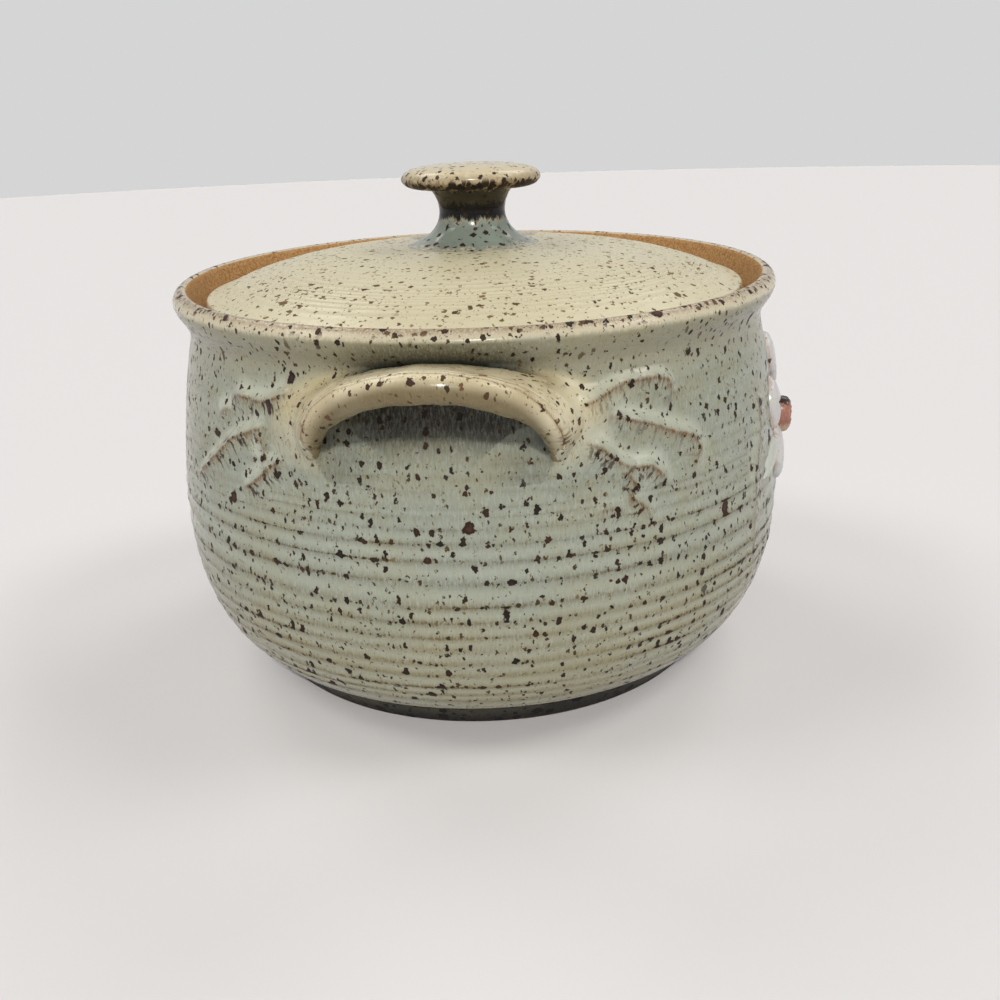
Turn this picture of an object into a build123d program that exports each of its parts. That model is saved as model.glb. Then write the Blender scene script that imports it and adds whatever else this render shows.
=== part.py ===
from build123d import *
import os
from math import cos, pi, radians, sin

# Stoneware casserole pot with a lift-off lid. Millimetres, +Z up, origin at the centre of the
# foot's resting plane. The blossom faces -Y and the two handles stand out along +X and -X.

# Outside of the thrown wall, from the foot up. Each rise is measured from the point below it.
foot_radius = 87.4
foot_ring_width = 11.0
foot_recess_depth = 3.0
foot_lean = 45.0           # degrees from upright at which the wall leaves the foot
bevel_width = 7.6          # the foot's edge is trimmed to a bevel this wide
bevel_height = 9.5
trim_step = 1.0            # the wall overhangs the bevel by this much
hip_rise = 19.5
hip_inset = 5.3            # how much narrower the hip is than the belly
belly_radius = 114.7
belly_rise = 32.0
shoulder_rise = 37.5
shoulder_inset = 3.1
throat_rise = 24.5
throat_stand = 0.7         # how much wider the throat is than the neck
neck_radius = 106.3
neck_rise = 7.0
lip_underside_rise = 6.0
lip_underside_stand = 3.3  # how far the lip stands out past the neck, below and at its widest
lip_rise = 4.5
lip_stand = 4.5
lip_crown = 4.6            # height of the lip's round top over its widest point

# Inside of the pot
wall_thickness = 7.0
floor_thickness = 8.0
floor_radius = 72.0
inside_hip_raise = 3.5     # the inside bends into the floor this much above the hip

# Gallery that carries the lid
rim_thickness = 6.0
gallery_depth = 11.1       # from the lip's top down to the seat
gallery_flare = 3.6        # the gallery wall leans out by this much up to the lip
lip_rounding = 2.6         # drop from the lip's top to its inner edge
ledge_width = 8.2
ledge_thickness = 4.5
ledge_undercut = 11.0      # height over which the ledge runs back into the wall

# Lid
lid_clearance = 1.8        # between the lid's edge and the gallery wall
lid_edge_thickness = 5.2
lid_edge_rounding = 2.4
lid_edge_slope = 0.5       # rise per width where the dome starts
lid_shoulder_inset = 14.4
lid_shoulder_rise = 10.2   # above the seat, as the dome's and the crown's
lid_dome_radius = 45.0
lid_dome_rise = 17.9
lid_crown_radius = 24.0
lid_crown_rise = 19.0
lid_thickness = 7.0
lid_underside_slope = 0.6
flange_clearance = 1.8     # between the lid's locating flange and the ledge
flange_thickness = 4.5
flange_depth = 6.0

# Knob, standing on the lid's crown
knob_edge_thickness = 0.6
knob_flare_slope = 0.5     # rise per width at both ends of the stem
knob_neck_radius = 12.3
knob_neck_rise = 12.0      # above the crown
knob_throat_radius = 15.6
knob_underside_rise = 20.2
knob_disc_radius = 25.6
knob_disc_thickness = 6.6
knob_crown = 2.2           # height of the disc's domed top
knob_crown_slope = 0.25

# Handles: a pulled roll whose ends go into the wall, joined to the wall above by a web
roll_radius = 4.4
roll_half_span = 37.6
roll_end_sink = 8.6        # the roll's middle line ends this far inside the shoulder
roll_stand = 18.4          # and stands out this far at its crest
roll_crest_rise = 1.0      # above the neck
roll_arch = 33.0           # from the crest down to the ends
roll_lean = 3.5            # the crest stands this far to one side
roll_fullness = 0.75       # under 1 makes the arch squarer at its shoulders
web_overhang = 8.4         # the web spreads this far past each end of the roll
web_root_sink = 9.3        # its root lies this far inside the neck, so it meets the wall all along
web_crest_drop = 6.0       # its root lies this far below the roll's crest
web_end_raise = 8.0        # and this far above the roll's ends
handle_stations = 9

# Sprays of leaves pressed on at the handles' ends, drawn on a plane that faces spray_turn degrees
# away from the handle. Each lobe: how far outwards its root is and how high above the palm's
# middle, its length, its width, and the tilt of its midrib in degrees.
relief_thickness = 2.2
spray_turn = 27.0
layer_sweep = 150.0        # degrees round the pot of the clay layer that reliefs are cut from
palm_raise = 12.0          # above the roll's ends
palm_width = 16.0
palm_length = 25.0
trailing_lobes = (
    (-8.0, 6.0, 34.5, 12.5, -5.0),
    (-8.0, -2.0, 62.0, 18.0, -24.5),
    (-8.0, -7.0, 32.0, 9.0, -29.0),
)
leading_lobes = (
    (-10.0, 13.0, 37.5, 12.0, -10.0),
    (-8.0, 4.5, 47.0, 16.0, -25.0),
    (-8.0, -3.0, 30.0, 11.0, -27.0),
)

# Blossom on the front
blossom_turn = -90.0       # degrees round the pot from +X
blossom_drop = 40.0        # from the neck down to its middle
petal_count = 5
first_petal_turn = 90.0
petal_thickness = 3.6
petal_middle = 18.4        # distance of a petal's broad end from the blossom's middle
petal_base_radius = 2.4
petal_gap = 0.5
centre_radius = 6.0
centre_gap = 1.2           # between the blossom's centre and the petals' narrow ends
centre_stand = 7.6         # how far the blossom's centre stands out of the wall
centre_rounding = 2.4
sepal_thickness = 2.0
sepal_offset = 3.1         # a sepal starts this far past the petals' middles
sepal_length = 28.0
sepal_width = 10.0
sepal_turns = (198.0, 270.0, 342.0)

# Sizes that follow from those above
bevel_radius = foot_radius + bevel_width
hip_radius = belly_radius - hip_inset
hip_height = bevel_height + hip_rise
belly_height = hip_height + belly_rise
shoulder_radius = belly_radius - shoulder_inset
shoulder_height = belly_height + shoulder_rise
throat_radius = neck_radius + throat_stand
throat_height = shoulder_height + throat_rise
neck_height = throat_height + neck_rise
lip_underside_radius = neck_radius + lip_underside_stand
lip_underside_height = neck_height + lip_underside_rise
lip_radius = neck_radius + lip_stand
lip_height = lip_underside_height + lip_rise
pot_height = lip_height + lip_crown
floor_height = foot_recess_depth + floor_thickness
inner_lip_radius = lip_radius - rim_thickness
gallery_radius = inner_lip_radius - gallery_flare
seat_height = pot_height - gallery_depth
ledge_radius = gallery_radius - ledge_width
lid_radius = gallery_radius - lid_clearance
lid_shoulder_radius = lid_radius - lid_shoulder_inset
flange_radius = ledge_radius - flange_clearance
crown_height = seat_height + lid_crown_rise
roll_crest_height = neck_height + roll_crest_rise
roll_end_height = roll_crest_height - roll_arch
palm_height = roll_end_height + palm_raise
blossom_height = neck_height - blossom_drop


def turned(edges):
    """The solid that a closed outline, drawn as radius and height, makes round the pot's axis."""
    outline = make_face(Wire(edges))
    return revolve(Plane.XZ * outline, axis=Axis.Z)


def wall_outside(grow=0.0):
    """The curve of the wall from the trimmed bevel to the lip, or the same curve further out."""
    points = (
        (bevel_radius + trim_step, bevel_height),
        (hip_radius, hip_height),
        (belly_radius, belly_height),
        (shoulder_radius, shoulder_height),
        (throat_radius, throat_height),
        (neck_radius, neck_height),
        (lip_underside_radius, lip_underside_height),
        (lip_radius, lip_height),
    )
    leave = (sin(radians(foot_lean)), cos(radians(foot_lean)))
    return Spline(*[(radius + grow, height) for radius, height in points], tangents=(leave, (0, 1)))


def wall_inside():
    """The curve of the inside, from the ledge's underside down to the floor."""
    top = seat_height - ledge_thickness - ledge_undercut
    lean = (shoulder_radius - throat_radius) / (throat_height - shoulder_height)
    top_radius = shoulder_radius - lean * (top - shoulder_height) - wall_thickness
    points = (
        (top_radius, top),
        (belly_radius - wall_thickness, belly_height),
        (hip_radius - wall_thickness, hip_height + inside_hip_raise),
        (floor_radius, floor_height),
    )
    return Spline(*points, tangents=((lean, -1), (-1, 0)))


def filled_pot():
    """The pot's outside as one full solid, which is cut from all that is joined onto the wall."""
    curve = wall_outside()
    foot, lip = curve @ 0, curve @ 1
    return turned([
        Line((0, foot.Y), foot),
        curve,
        Line(lip, (0, lip.Y)),
        Line((0, lip.Y), (0, foot.Y)),
    ])


def make_pot_body():
    outside, inside = wall_outside(), wall_inside()
    foot_inner = foot_radius - foot_ring_width
    lip_middle = (inner_lip_radius + lip_radius) / 2
    lip_inner = (inner_lip_radius, pot_height - lip_rounding)
    nose_bottom = (ledge_radius, seat_height - ledge_thickness)
    return turned([
        Line((0, foot_recess_depth), (foot_inner, foot_recess_depth)),
        Line((foot_inner, foot_recess_depth), (foot_inner, 0)),
        Line((foot_inner, 0), (foot_radius, 0)),
        Line((foot_radius, 0), (bevel_radius, bevel_height)),
        Line((bevel_radius, bevel_height), outside @ 0),
        outside,
        ThreePointArc(outside @ 1, (lip_middle, pot_height), lip_inner),
        Line(lip_inner, (gallery_radius, seat_height)),
        Line((gallery_radius, seat_height), (ledge_radius, seat_height)),
        Line((ledge_radius, seat_height), nose_bottom),
        Line(nose_bottom, inside @ 0),
        inside,
        Line(inside @ 1, (0, floor_height)),
        Line((0, floor_height), (0, foot_recess_depth)),
    ])


def make_lid():
    edge_top = seat_height + lid_edge_thickness
    round_outer = (lid_radius, edge_top - lid_edge_rounding)
    round_inner = (lid_radius - lid_edge_rounding, edge_top)
    dome = Spline(
        round_inner,
        (lid_shoulder_radius, seat_height + lid_shoulder_rise),
        (lid_dome_radius, seat_height + lid_dome_rise),
        (lid_crown_radius, crown_height),
        tangents=((-1, lid_edge_slope), (-1, 0)),
    )
    flange_bottom = seat_height - flange_depth
    flange_inner = flange_radius - flange_thickness
    under_dome = Spline(
        (0, crown_height - lid_thickness),
        (lid_dome_radius, seat_height + lid_dome_rise - lid_thickness),
        (flange_inner, seat_height),
        tangents=((1, 0), (1, -lid_underside_slope)),
    )
    return turned([
        Line((0, crown_height - lid_thickness), (0, crown_height)),
        Line((0, crown_height), dome @ 1),
        dome,
        TangentArc(round_inner, round_outer, tangent=(1, 0)),
        Line(round_outer, (lid_radius, seat_height)),
        Line((lid_radius, seat_height), (flange_radius, seat_height)),
        Line((flange_radius, seat_height), (flange_radius, flange_bottom)),
        Line((flange_radius, flange_bottom), (flange_inner, flange_bottom)),
        Line((flange_inner, flange_bottom), under_dome @ 1),
        under_dome,
    ])


def make_knob():
    underside = crown_height + knob_underside_rise
    disc_top = underside + knob_disc_thickness
    disc_middle = (underside + disc_top) / 2
    rounding = knob_disc_thickness / 2
    base = (lid_crown_radius, crown_height + knob_edge_thickness)
    stem = Spline(
        base,
        (knob_neck_radius, crown_height + knob_neck_rise),
        (knob_throat_radius, underside),
        tangents=((-1, knob_flare_slope), (1, knob_flare_slope)),
    )
    disc_low = (knob_disc_radius - rounding, underside)
    disc_high = (knob_disc_radius - rounding, disc_top)
    return turned([
        Line((0, crown_height), (lid_crown_radius, crown_height)),
        Line((lid_crown_radius, crown_height), base),
        stem,
        Line(stem @ 1, disc_low),
        ThreePointArc(disc_low, (knob_disc_radius, disc_middle), disc_high),
        Spline(disc_high, (0, disc_top + knob_crown), tangents=((-1, knob_crown_slope), (-1, 0))),
        Line((0, disc_top + knob_crown), (0, crown_height)),
    ])


def arch_point(turn, half_span, end_reach, crest_reach, end_height, crest_height):
    """A point of an arch over the +X handle, at a turn of 0 to 180 degrees along it."""
    rise = sin(radians(turn))
    return Vector(
        end_reach + (crest_reach - end_reach) * rise,
        -half_span * cos(radians(turn)) + roll_lean * rise,
        end_height + (crest_height - end_height) * rise ** roll_fullness,
    )


def roll_point(turn):
    """A point of the roll's middle line."""
    end_reach = shoulder_radius - roll_end_sink
    crest_reach = shoulder_radius + roll_stand
    return arch_point(turn, roll_half_span, end_reach, crest_reach, roll_end_height, roll_crest_height)


def web_point(turn):
    """A point of the web's root inside the wall."""
    reach = neck_radius - web_root_sink
    end_height = roll_end_height + web_end_raise
    crest_height = roll_crest_height - web_crest_drop
    return arch_point(turn, roll_half_span + web_overhang, reach, reach, end_height, crest_height)


def make_handle(pot):
    """The +X handle: slots from the roll's middle line to the web's root, joined into one solid."""
    sections = []
    step = 180 / (handle_stations - 1)
    for station in range(handle_stations):
        turn = station * step
        middle, root = roll_point(turn), web_point(turn)
        along = roll_point(min(turn + step / 2, 180)) - roll_point(max(turn - step / 2, 0))
        inward = root - middle
        across = along - inward * (along.dot(inward) / inward.dot(inward))
        plane = Plane(origin=(middle + root) / 2, x_dir=inward, z_dir=across)
        sections.append(plane * SlotCenterToCenter(inward.length, 2 * roll_radius))
    return loft(sections) - pot


def facing(degrees_round):
    """A plane through the pot's axis that looks outwards, its X to the right and its Y up."""
    outward = (cos(radians(degrees_round)), sin(radians(degrees_round)), 0)
    rightward = (-sin(radians(degrees_round)), cos(radians(degrees_round)), 0)
    return Plane(origin=(0, 0, 0), x_dir=rightward, z_dir=outward)


def pressed_on(outline, degrees_round, thickness):
    """An outline drawn on the plane that faces outwards, pressed onto the wall as an even layer."""
    wall, outer = wall_outside(), wall_outside(thickness)
    section = make_face(Wire([wall, Line(wall @ 1, outer @ 1), outer, Line(outer @ 0, wall @ 0)]))
    layer = revolve(Plane.XZ * section, axis=Axis.Z, revolution_arc=layer_sweep)
    block = extrude(facing(degrees_round) * outline, amount=belly_radius + 2 * thickness)
    return block & (Rot(0, 0, degrees_round - layer_sweep / 2) * layer)


def leaf_outline(length, width):
    """A pointed leaf from the origin along +X."""
    upper = ThreePointArc((0, 0), (length / 2, width / 2), (length, 0))
    lower = ThreePointArc((length, 0), (length / 2, -width / 2), (0, 0))
    return make_face(Wire([upper, lower]))


def make_leaf_spray(lobes, side, handle):
    """Lobes fanned out from a palm at one end of the +X handle; side is -1 or +1 along Y."""
    outline = Pos(0, palm_height) * Ellipse(palm_width / 2, palm_length / 2)
    for outwards, raised, length, width, tilt in lobes:
        root = Pos(side * outwards, palm_height + raised)
        heading = tilt if side > 0 else 180 - tilt
        outline += root * Rot(0, 0, heading) * leaf_outline(length, width)
    return pressed_on(outline, side * spray_turn, relief_thickness) - handle


def make_petals():
    """Five separate petals round the blossom's middle, each a teardrop with a small gap beside it."""
    petal_radius = petal_middle * sin(pi / petal_count) - petal_gap / 2
    broad = Pos(petal_middle, 0) * Circle(petal_radius)
    narrow = Pos(centre_radius + centre_gap + petal_base_radius, 0) * Circle(petal_base_radius)
    teardrop = make_hull((broad + narrow).edges())
    petals = []
    for number in range(petal_count):
        petal_turn = first_petal_turn + number * 360 / petal_count
        outline = Pos(0, blossom_height) * Rot(0, 0, petal_turn) * teardrop
        petals.append(pressed_on(outline, blossom_turn, petal_thickness))
    return petals


def make_blossom_centre(pot):
    """A round-topped boss that stands straight out of the wall."""
    reach = belly_radius + centre_stand
    front = facing(blossom_turn)
    boss = extrude(front * Pos(0, blossom_height) * Circle(centre_radius), amount=reach)
    tip = boss.edges().filter_by(GeomType.CIRCLE).sort_by(Axis((0, 0, 0), front.z_dir))[-1]
    return fillet(tip, centre_rounding) - pot


def make_sepals():
    """Pointed leaves that show between the petals."""
    leaf = Pos(petal_middle + sepal_offset, 0) * leaf_outline(sepal_length, sepal_width)
    sepals = []
    for sepal_turn in sepal_turns:
        outline = Pos(0, blossom_height) * Rot(0, 0, sepal_turn) * leaf
        sepals.append(pressed_on(outline, blossom_turn, sepal_thickness))
    return sepals


def save(name, shape):
    pieces = shape if isinstance(shape, list) else [shape]
    solids = [solid for piece in pieces for solid in piece.solids()]
    export_step(solids[0] if len(solids) == 1 else Compound(children=solids), f"parts/{name}.step")
    print(name, len(solids), "solid(s)")


os.makedirs("parts", exist_ok=True)
pot = filled_pot()
half_turn = Rot(0, 0, 180)
handle = make_handle(pot)
trailing_spray = make_leaf_spray(trailing_lobes, -1, handle)
leading_spray = make_leaf_spray(leading_lobes, 1, handle)

save("pot_body", make_pot_body())
save("handle_right", handle)
save("handle_left", half_turn * handle)
save("leaf_right_front", trailing_spray)
save("leaf_right_back", leading_spray)
save("leaf_left_back", half_turn * trailing_spray)
save("leaf_left_front", half_turn * leading_spray)
save("blossom_petals", make_petals())
save("blossom_centre", make_blossom_centre(pot))
save("blossom_leaves", make_sepals())
save("lid", make_lid())
save("knob", make_knob())
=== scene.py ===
import math

import bpy
import numpy as np
from mathutils import Euler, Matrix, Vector
from mathutils.kdtree import KDTree


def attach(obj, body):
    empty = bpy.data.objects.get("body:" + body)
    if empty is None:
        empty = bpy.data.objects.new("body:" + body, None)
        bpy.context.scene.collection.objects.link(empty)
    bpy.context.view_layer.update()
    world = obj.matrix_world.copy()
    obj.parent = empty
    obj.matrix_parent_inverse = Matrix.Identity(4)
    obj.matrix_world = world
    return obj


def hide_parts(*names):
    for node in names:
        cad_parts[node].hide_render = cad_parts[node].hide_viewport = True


# A speckled stoneware casserole: wall, handles, leaf relief, blossom, lid and knob.
# Sizes below are in millimetres and degrees; every mesh is written in metres.

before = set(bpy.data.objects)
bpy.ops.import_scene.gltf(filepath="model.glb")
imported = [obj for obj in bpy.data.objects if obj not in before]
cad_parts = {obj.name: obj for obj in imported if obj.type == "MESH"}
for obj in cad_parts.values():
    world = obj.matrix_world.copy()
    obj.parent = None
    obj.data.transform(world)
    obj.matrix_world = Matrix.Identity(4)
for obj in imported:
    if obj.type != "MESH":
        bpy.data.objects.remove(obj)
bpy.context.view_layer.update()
mm = 0.001
print("frame loaded:", len(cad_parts), "nodes")


# small tools for shapes
def smoothThrough(points, count, leave=None, arrive=None):
    # cubic spline by chord length; leave and arrive are directions at the ends
    p = np.array(points, float)
    gaps = np.linalg.norm(np.diff(p, axis=0), axis=1)
    t = np.concatenate([[0.0], np.cumsum(gaps)])
    n = len(p)
    a = np.zeros((n, n))
    b = np.zeros((n, 2))
    for i in range(1, n - 1):
        a[i, i - 1], a[i, i + 1] = 1 / gaps[i - 1], 1 / gaps[i]
        a[i, i] = 2 * (a[i, i - 1] + a[i, i + 1])
        b[i] = 3 * ((p[i] - p[i - 1]) / gaps[i - 1] ** 2 + (p[i + 1] - p[i]) / gaps[i] ** 2)
    for end, other, gap, direction in ((0, 1, 0, leave), (n - 1, n - 2, -1, arrive)):
        a[end, end] = 1
        if direction is None:
            a[end, end], a[end, other] = 2, 1
            b[end] = 3 * (p[1] - p[0]) / gaps[0] if end == 0 else 3 * (p[-1] - p[-2]) / gaps[-1]
        else:
            b[end] = np.array(direction, float) / np.linalg.norm(direction)
    slopes = np.linalg.solve(a, b)
    at = np.linspace(0, t[-1], count)
    i = np.clip(np.searchsorted(t, at, side="right") - 1, 0, n - 2)
    h = gaps[i][:, None]
    s = ((at - t[i])[:, None]) / h
    return ((1 + 2 * s) * (1 - s) ** 2 * p[i] + s * (1 - s) ** 2 * h * slopes[i]
            + s ** 2 * (3 - 2 * s) * p[i + 1] + s ** 2 * (s - 1) * h * slopes[i + 1])


def softened(points, rounding, steps=4):
    # a broken line whose inner corners are rounded by a short curve
    p = [np.array(q, float) for q in points]
    out = [p[0]]
    for before, corner, after, size in zip(p, p[1:], p[2:], rounding):
        reach = [min(size, 0.45 * np.linalg.norm(end - corner)) for end in (before, after)]
        first = corner + (before - corner) / np.linalg.norm(before - corner) * reach[0]
        last = corner + (after - corner) / np.linalg.norm(after - corner) * reach[1]
        for s in np.linspace(0, 1, steps + 1):
            out.append((1 - s) ** 2 * first + 2 * s * (1 - s) * corner + s ** 2 * last)
    out.append(p[-1])
    return np.array(out)


def addMesh(name, verts, faces):
    mesh = bpy.data.meshes.new(name)
    mesh.from_pydata((np.asarray(verts) * mm).tolist(), [], faces)
    mesh.polygons.foreach_set("use_smooth", [True] * len(mesh.polygons))
    piece = bpy.data.objects.new(name, mesh)
    bpy.context.scene.collection.objects.link(piece)
    return piece


def store(piece, name, values):
    layer = piece.data.attributes.new(name, "FLOAT", "POINT")
    layer.data.foreach_set("value", np.asarray(values, np.float32))


def pointsOf(piece):
    return np.array([v.co for v in piece.data.vertices]) / mm


def movePoints(piece, co):
    piece.data.vertices.foreach_set("co", (co * mm).astype(np.float32).ravel())
    piece.data.update()


def tubeFaces(rows, ring, flipped=False):
    # rows of rings joined by quads, with a fan to a middle point at each end; those two points come last
    first, last, top = rows * ring, rows * ring + 1, (rows - 1) * ring
    faces = []
    for k in range(ring):
        a, b = k, (k + 1) % ring
        if flipped:
            a, b = b, a
        faces += [(first, b, a), (last, top + a, top + b)]
        faces += [(row + a, row + b, row + ring + b, row + ring + a) for row in range(0, top, ring)]
    return faces


def lathe(name, outline, around):
    # turns an outline of (radius, height) round the axis; both its ends lie on the axis
    rings = np.asarray(outline)[1:-1]
    turns = np.arange(around) * 2 * math.pi / around
    r, z = rings[:, :1], np.repeat(rings[:, 1:], around, axis=1)
    verts = np.stack([r * np.cos(turns), r * np.sin(turns), z], -1).reshape(-1, 3)
    verts = np.vstack([verts, [0, 0, outline[0][1]], [0, 0, outline[-1][1]]])
    return addMesh(name, verts, tubeFaces(len(rings), around))


def latheRows(outline, around):
    # the outline's row of every point of a lathed piece
    return np.concatenate([np.repeat(np.arange(len(outline) - 2), around), [-1, -1]]) + 1


def bell(x, middle, width):
    return np.exp(-((x - middle) / width) ** 2)


def runAlong(line):
    # distance from the line's start to each of its points
    return np.concatenate([[0], np.cumsum(np.linalg.norm(np.diff(line, axis=0), axis=1))])


def smoothStep(x, low, high):
    s = np.clip((np.asarray(x, float) - low) / (high - low), 0, 1)
    return s * s * (3 - 2 * s)


# node trees
def addNode(tree, kind, values=None, **settings):
    node = tree.nodes.new(kind)
    for key, value in settings.items():
        setattr(node, key, value)
    for key, value in (values or {}).items():
        socket = node.inputs[key]
        if isinstance(value, bpy.types.NodeSocket):
            tree.links.new(value, socket)
        else:
            socket.default_value = value
    return node


def treeOf(*values):
    # the tree of the first socket among the values
    return next(value.id_data for value in values if isinstance(value, bpy.types.NodeSocket))


def math1(operation, *values, clamp=False):
    node = addNode(treeOf(*values), "ShaderNodeMath", dict(enumerate(values)), operation=operation)
    node.use_clamp = clamp
    return node.outputs[0]


def times(first, *others):
    for other in others:
        first = math1("MULTIPLY", first, other)
    return first


def plus(first, *others):
    for other in others:
        first = math1("ADD", first, other)
    return first


def minus(first, second, clamp=False):
    return math1("SUBTRACT", first, second, clamp=clamp)


def vector(operation, first, second=None, scale=None):
    values = {key: value for key, value in ((0, first), (1, second), ("Scale", scale)) if value is not None}
    node = addNode(treeOf(first, scale), "ShaderNodeVectorMath", values, operation=operation)
    return node.outputs["Value" if operation == "LENGTH" else "Vector"]


def noise3(where, **settings):
    return addNode(where.id_data, "ShaderNodeTexNoise", dict(settings, Vector=where)).outputs


def newGroup(name, inputs):
    # a tree and the sockets of its inputs
    tree = bpy.data.node_groups.new(name, "GeometryNodeTree")
    tree.interface.new_socket("Geometry", in_out="INPUT", socket_type="NodeSocketGeometry")
    for label, kind in inputs:
        tree.interface.new_socket(label, in_out="INPUT", socket_type="NodeSocket" + kind)
    tree.interface.new_socket("Material", in_out="INPUT", socket_type="NodeSocketMaterial")
    tree.interface.new_socket("Geometry", in_out="OUTPUT", socket_type="NodeSocketGeometry")
    return tree, tree.nodes.new("NodeGroupInput").outputs


def closeGroup(tree, given, geometry):
    # the tree ends in real geometry with its glaze on
    real = addNode(tree, "GeometryNodeRealizeInstances", {"Geometry": geometry}).outputs[0]
    glazed = addNode(tree, "GeometryNodeSetMaterial", {"Geometry": real, "Material": given["Material"]})
    tree.links.new(glazed.outputs[0], tree.nodes.new("NodeGroupOutput").inputs[0])
    return tree


def applyGroup(piece, tree, inputs):
    # runs the tree on a piece and keeps the result as a plain mesh
    modifier = piece.modifiers.new(tree.name, "NODES")
    modifier.node_group = tree
    for item in tree.interface.items_tree:
        if item.in_out == "INPUT" and item.name in inputs:
            modifier[item.identifier] = inputs[item.name]
    depsgraph = bpy.context.evaluated_depsgraph_get()
    mesh = bpy.data.meshes.new_from_object(piece.evaluated_get(depsgraph), preserve_all_data_layers=True,
                                           depsgraph=depsgraph)
    piece.modifiers.remove(modifier)
    old = piece.data
    piece.data = mesh
    bpy.data.meshes.remove(old)
    mesh.name = piece.name
    return piece


def floatCurve(value, curvePoints):
    node = addNode(value.id_data, "ShaderNodeFloatCurve", {"Value": value})
    curve = node.mapping.curves[0]
    for x, y in curvePoints[1:-1]:
        curve.points.new(x, y)
    curve.points[0].location = curvePoints[0]
    curve.points[-1].location = curvePoints[-1]
    node.mapping.update()
    return node.outputs[0]


# throwing rings and trimming grooves
rings = {
    "span": 150.0,        # the curves below run over this much height
    "crests": [18.2, 22.0, 26.0, 31.6, 36.7, 42.1, 46.8, 52.2, 57.9, 66.0, 72.8, 78.3,
               82.9, 86.9, 89.6, 94.4, 98.5, 102.7, 108.0, 114.0, 121.0, 129.0],
    "depth": 0.6,
    "envelope": [(0, 0.0), (9, 0.35), (16, 0.9), (30, 1.0), (55, 1.0), (74, 0.95), (82, 0.5),
                 (95, 0.28), (112, 0.16), (130, 0.1), (150, 0.0)],
    "wander": 0.9,        # how far a ring strays from level
    "frontTurn": -172.0,  # the side that faces the camera
    "valleyPower": 0.8, "crestPower": 3.4, "valleyWidth": 3.0,
}

lidRings = dict(
    rings, span=110.0,    # here the curves run over radius
    crests=[27.0, 30.5, 34.5, 38.0, 42.5, 46.0, 50.5, 54.0, 58.5, 62.0, 66.5, 70.0, 73.7, 76.4, 78.5,
            80.4, 82.0, 84.5, 87.0, 90.5, 94.0],
    depth=0.32, wander=0.5,
    envelope=[(0, 0.0), (25, 0.15), (45, 0.25), (68, 0.45), (73, 1.0), (86, 1.0), (92, 0.35), (98, 0.0),
              (110, 0.0)],
)


def turningTree(name, sizes, acrossLid):
    tree, given = newGroup(name, [("Depth", "Float"), ("Wander", "Float"), ("Front", "Float")])
    where = addNode(tree, "GeometryNodeInputPosition").outputs[0]
    axes = addNode(tree, "ShaderNodeSeparateXYZ", {0: where}).outputs
    turn = math1("ARCTAN2", axes["Y"], axes["X"])
    level = addNode(tree, "ShaderNodeCombineXYZ", {"X": axes["X"], "Y": axes["Y"]}).outputs[0]
    along = vector("LENGTH", level) if acrossLid else axes["Z"]

    # rings stray slowly from level as the clay turns
    stray = times(minus(noise3(where, Scale=11.0, Detail=1.0)["Fac"], 0.5), given["Wander"])
    share = math1("DIVIDE", plus(along, stray), sizes["span"] * mm)

    # the curve counts the crests passed; one more is added each time round, so they are one spiral
    crests, span = sizes["crests"], sizes["span"]
    steps = len(crests) + 3
    counted = [(0.0, 0.0)] + [(c / span, (k + 2) / steps) for k, c in enumerate(crests)] + [(1.0, 1.0)]
    turned = math1("DIVIDE", minus(turn, given["Front"]), 2 * math.pi)
    phase = math1("FRACT", plus(times(floatCurve(share, counted), steps), turned, 8.0))
    valley = math1("POWER", math1("SINE", times(phase, math.pi)), sizes["valleyPower"])
    height = minus(1.0, valley)

    # some rings are stronger than their neighbours, and each is uneven round the pot
    uneven = noise3(where, Scale=34.0, Detail=2.0)["Fac"]
    strength = ramp(uneven, 0.3, 0.7, 0.55, 1.15, False)
    fade = floatCurve(math1("DIVIDE", along, span * mm), [(x / span, y) for x, y in sizes["envelope"]])
    marked = addNode(tree, "GeometryNodeInputNamedAttribute", {"Name": "turned"}, data_type="FLOAT")
    weight = times(fade, strength, marked.outputs[0])
    direction = (0.0, 0.0, 1.0) if acrossLid else vector("NORMALIZE", level)
    offset = vector("SCALE", direction, scale=times(height, weight, given["Depth"]))
    moved = addNode(tree, "GeometryNodeSetPosition", {"Geometry": given["Geometry"], "Offset": offset})
    geometry = moved.outputs[0]
    crest = times(math1("POWER", height, sizes["crestPower"]), weight)
    low = times(minus(1.0, times(height, sizes["valleyWidth"]), clamp=True), weight)
    for label, value in (("ringCrest", crest), ("ringValley", low)):
        values = {"Geometry": geometry, "Name": label, "Value": value}
        kept = addNode(tree, "GeometryNodeStoreNamedAttribute", values, data_type="FLOAT", domain="POINT")
        geometry = kept.outputs[0]
    return closeGroup(tree, given, geometry)


def ringed(piece, tree, sizes, glaze):
    # the piece with its rings or grooves, glazed
    return applyGroup(piece, tree, {"Depth": sizes["depth"] * mm, "Wander": sizes["wander"] * mm,
                                    "Front": math.radians(sizes["frontTurn"]), "Material": glazes[glaze]})


# glazes: colours are sRGB, 0 to 255; lengths in the patterns are millimetres
def colour(rgb):
    linear = [c / 12.92 if c <= 0.04045 else ((c + 0.055) / 1.055) ** 2.4 for c in (v / 255 for v in rgb)]
    return (*linear, 1.0)


def blend(share, first, second):
    tree = share.id_data
    node = addNode(tree, "ShaderNodeMix", data_type="RGBA", clamp_factor=True)
    tree.links.new(share, node.inputs[0])
    for socket, value in ((node.inputs[6], first), (node.inputs[7], second)):
        if isinstance(value, tuple):
            socket.default_value = colour(value)
        else:
            tree.links.new(value, socket)
    return node.outputs[2]


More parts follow.
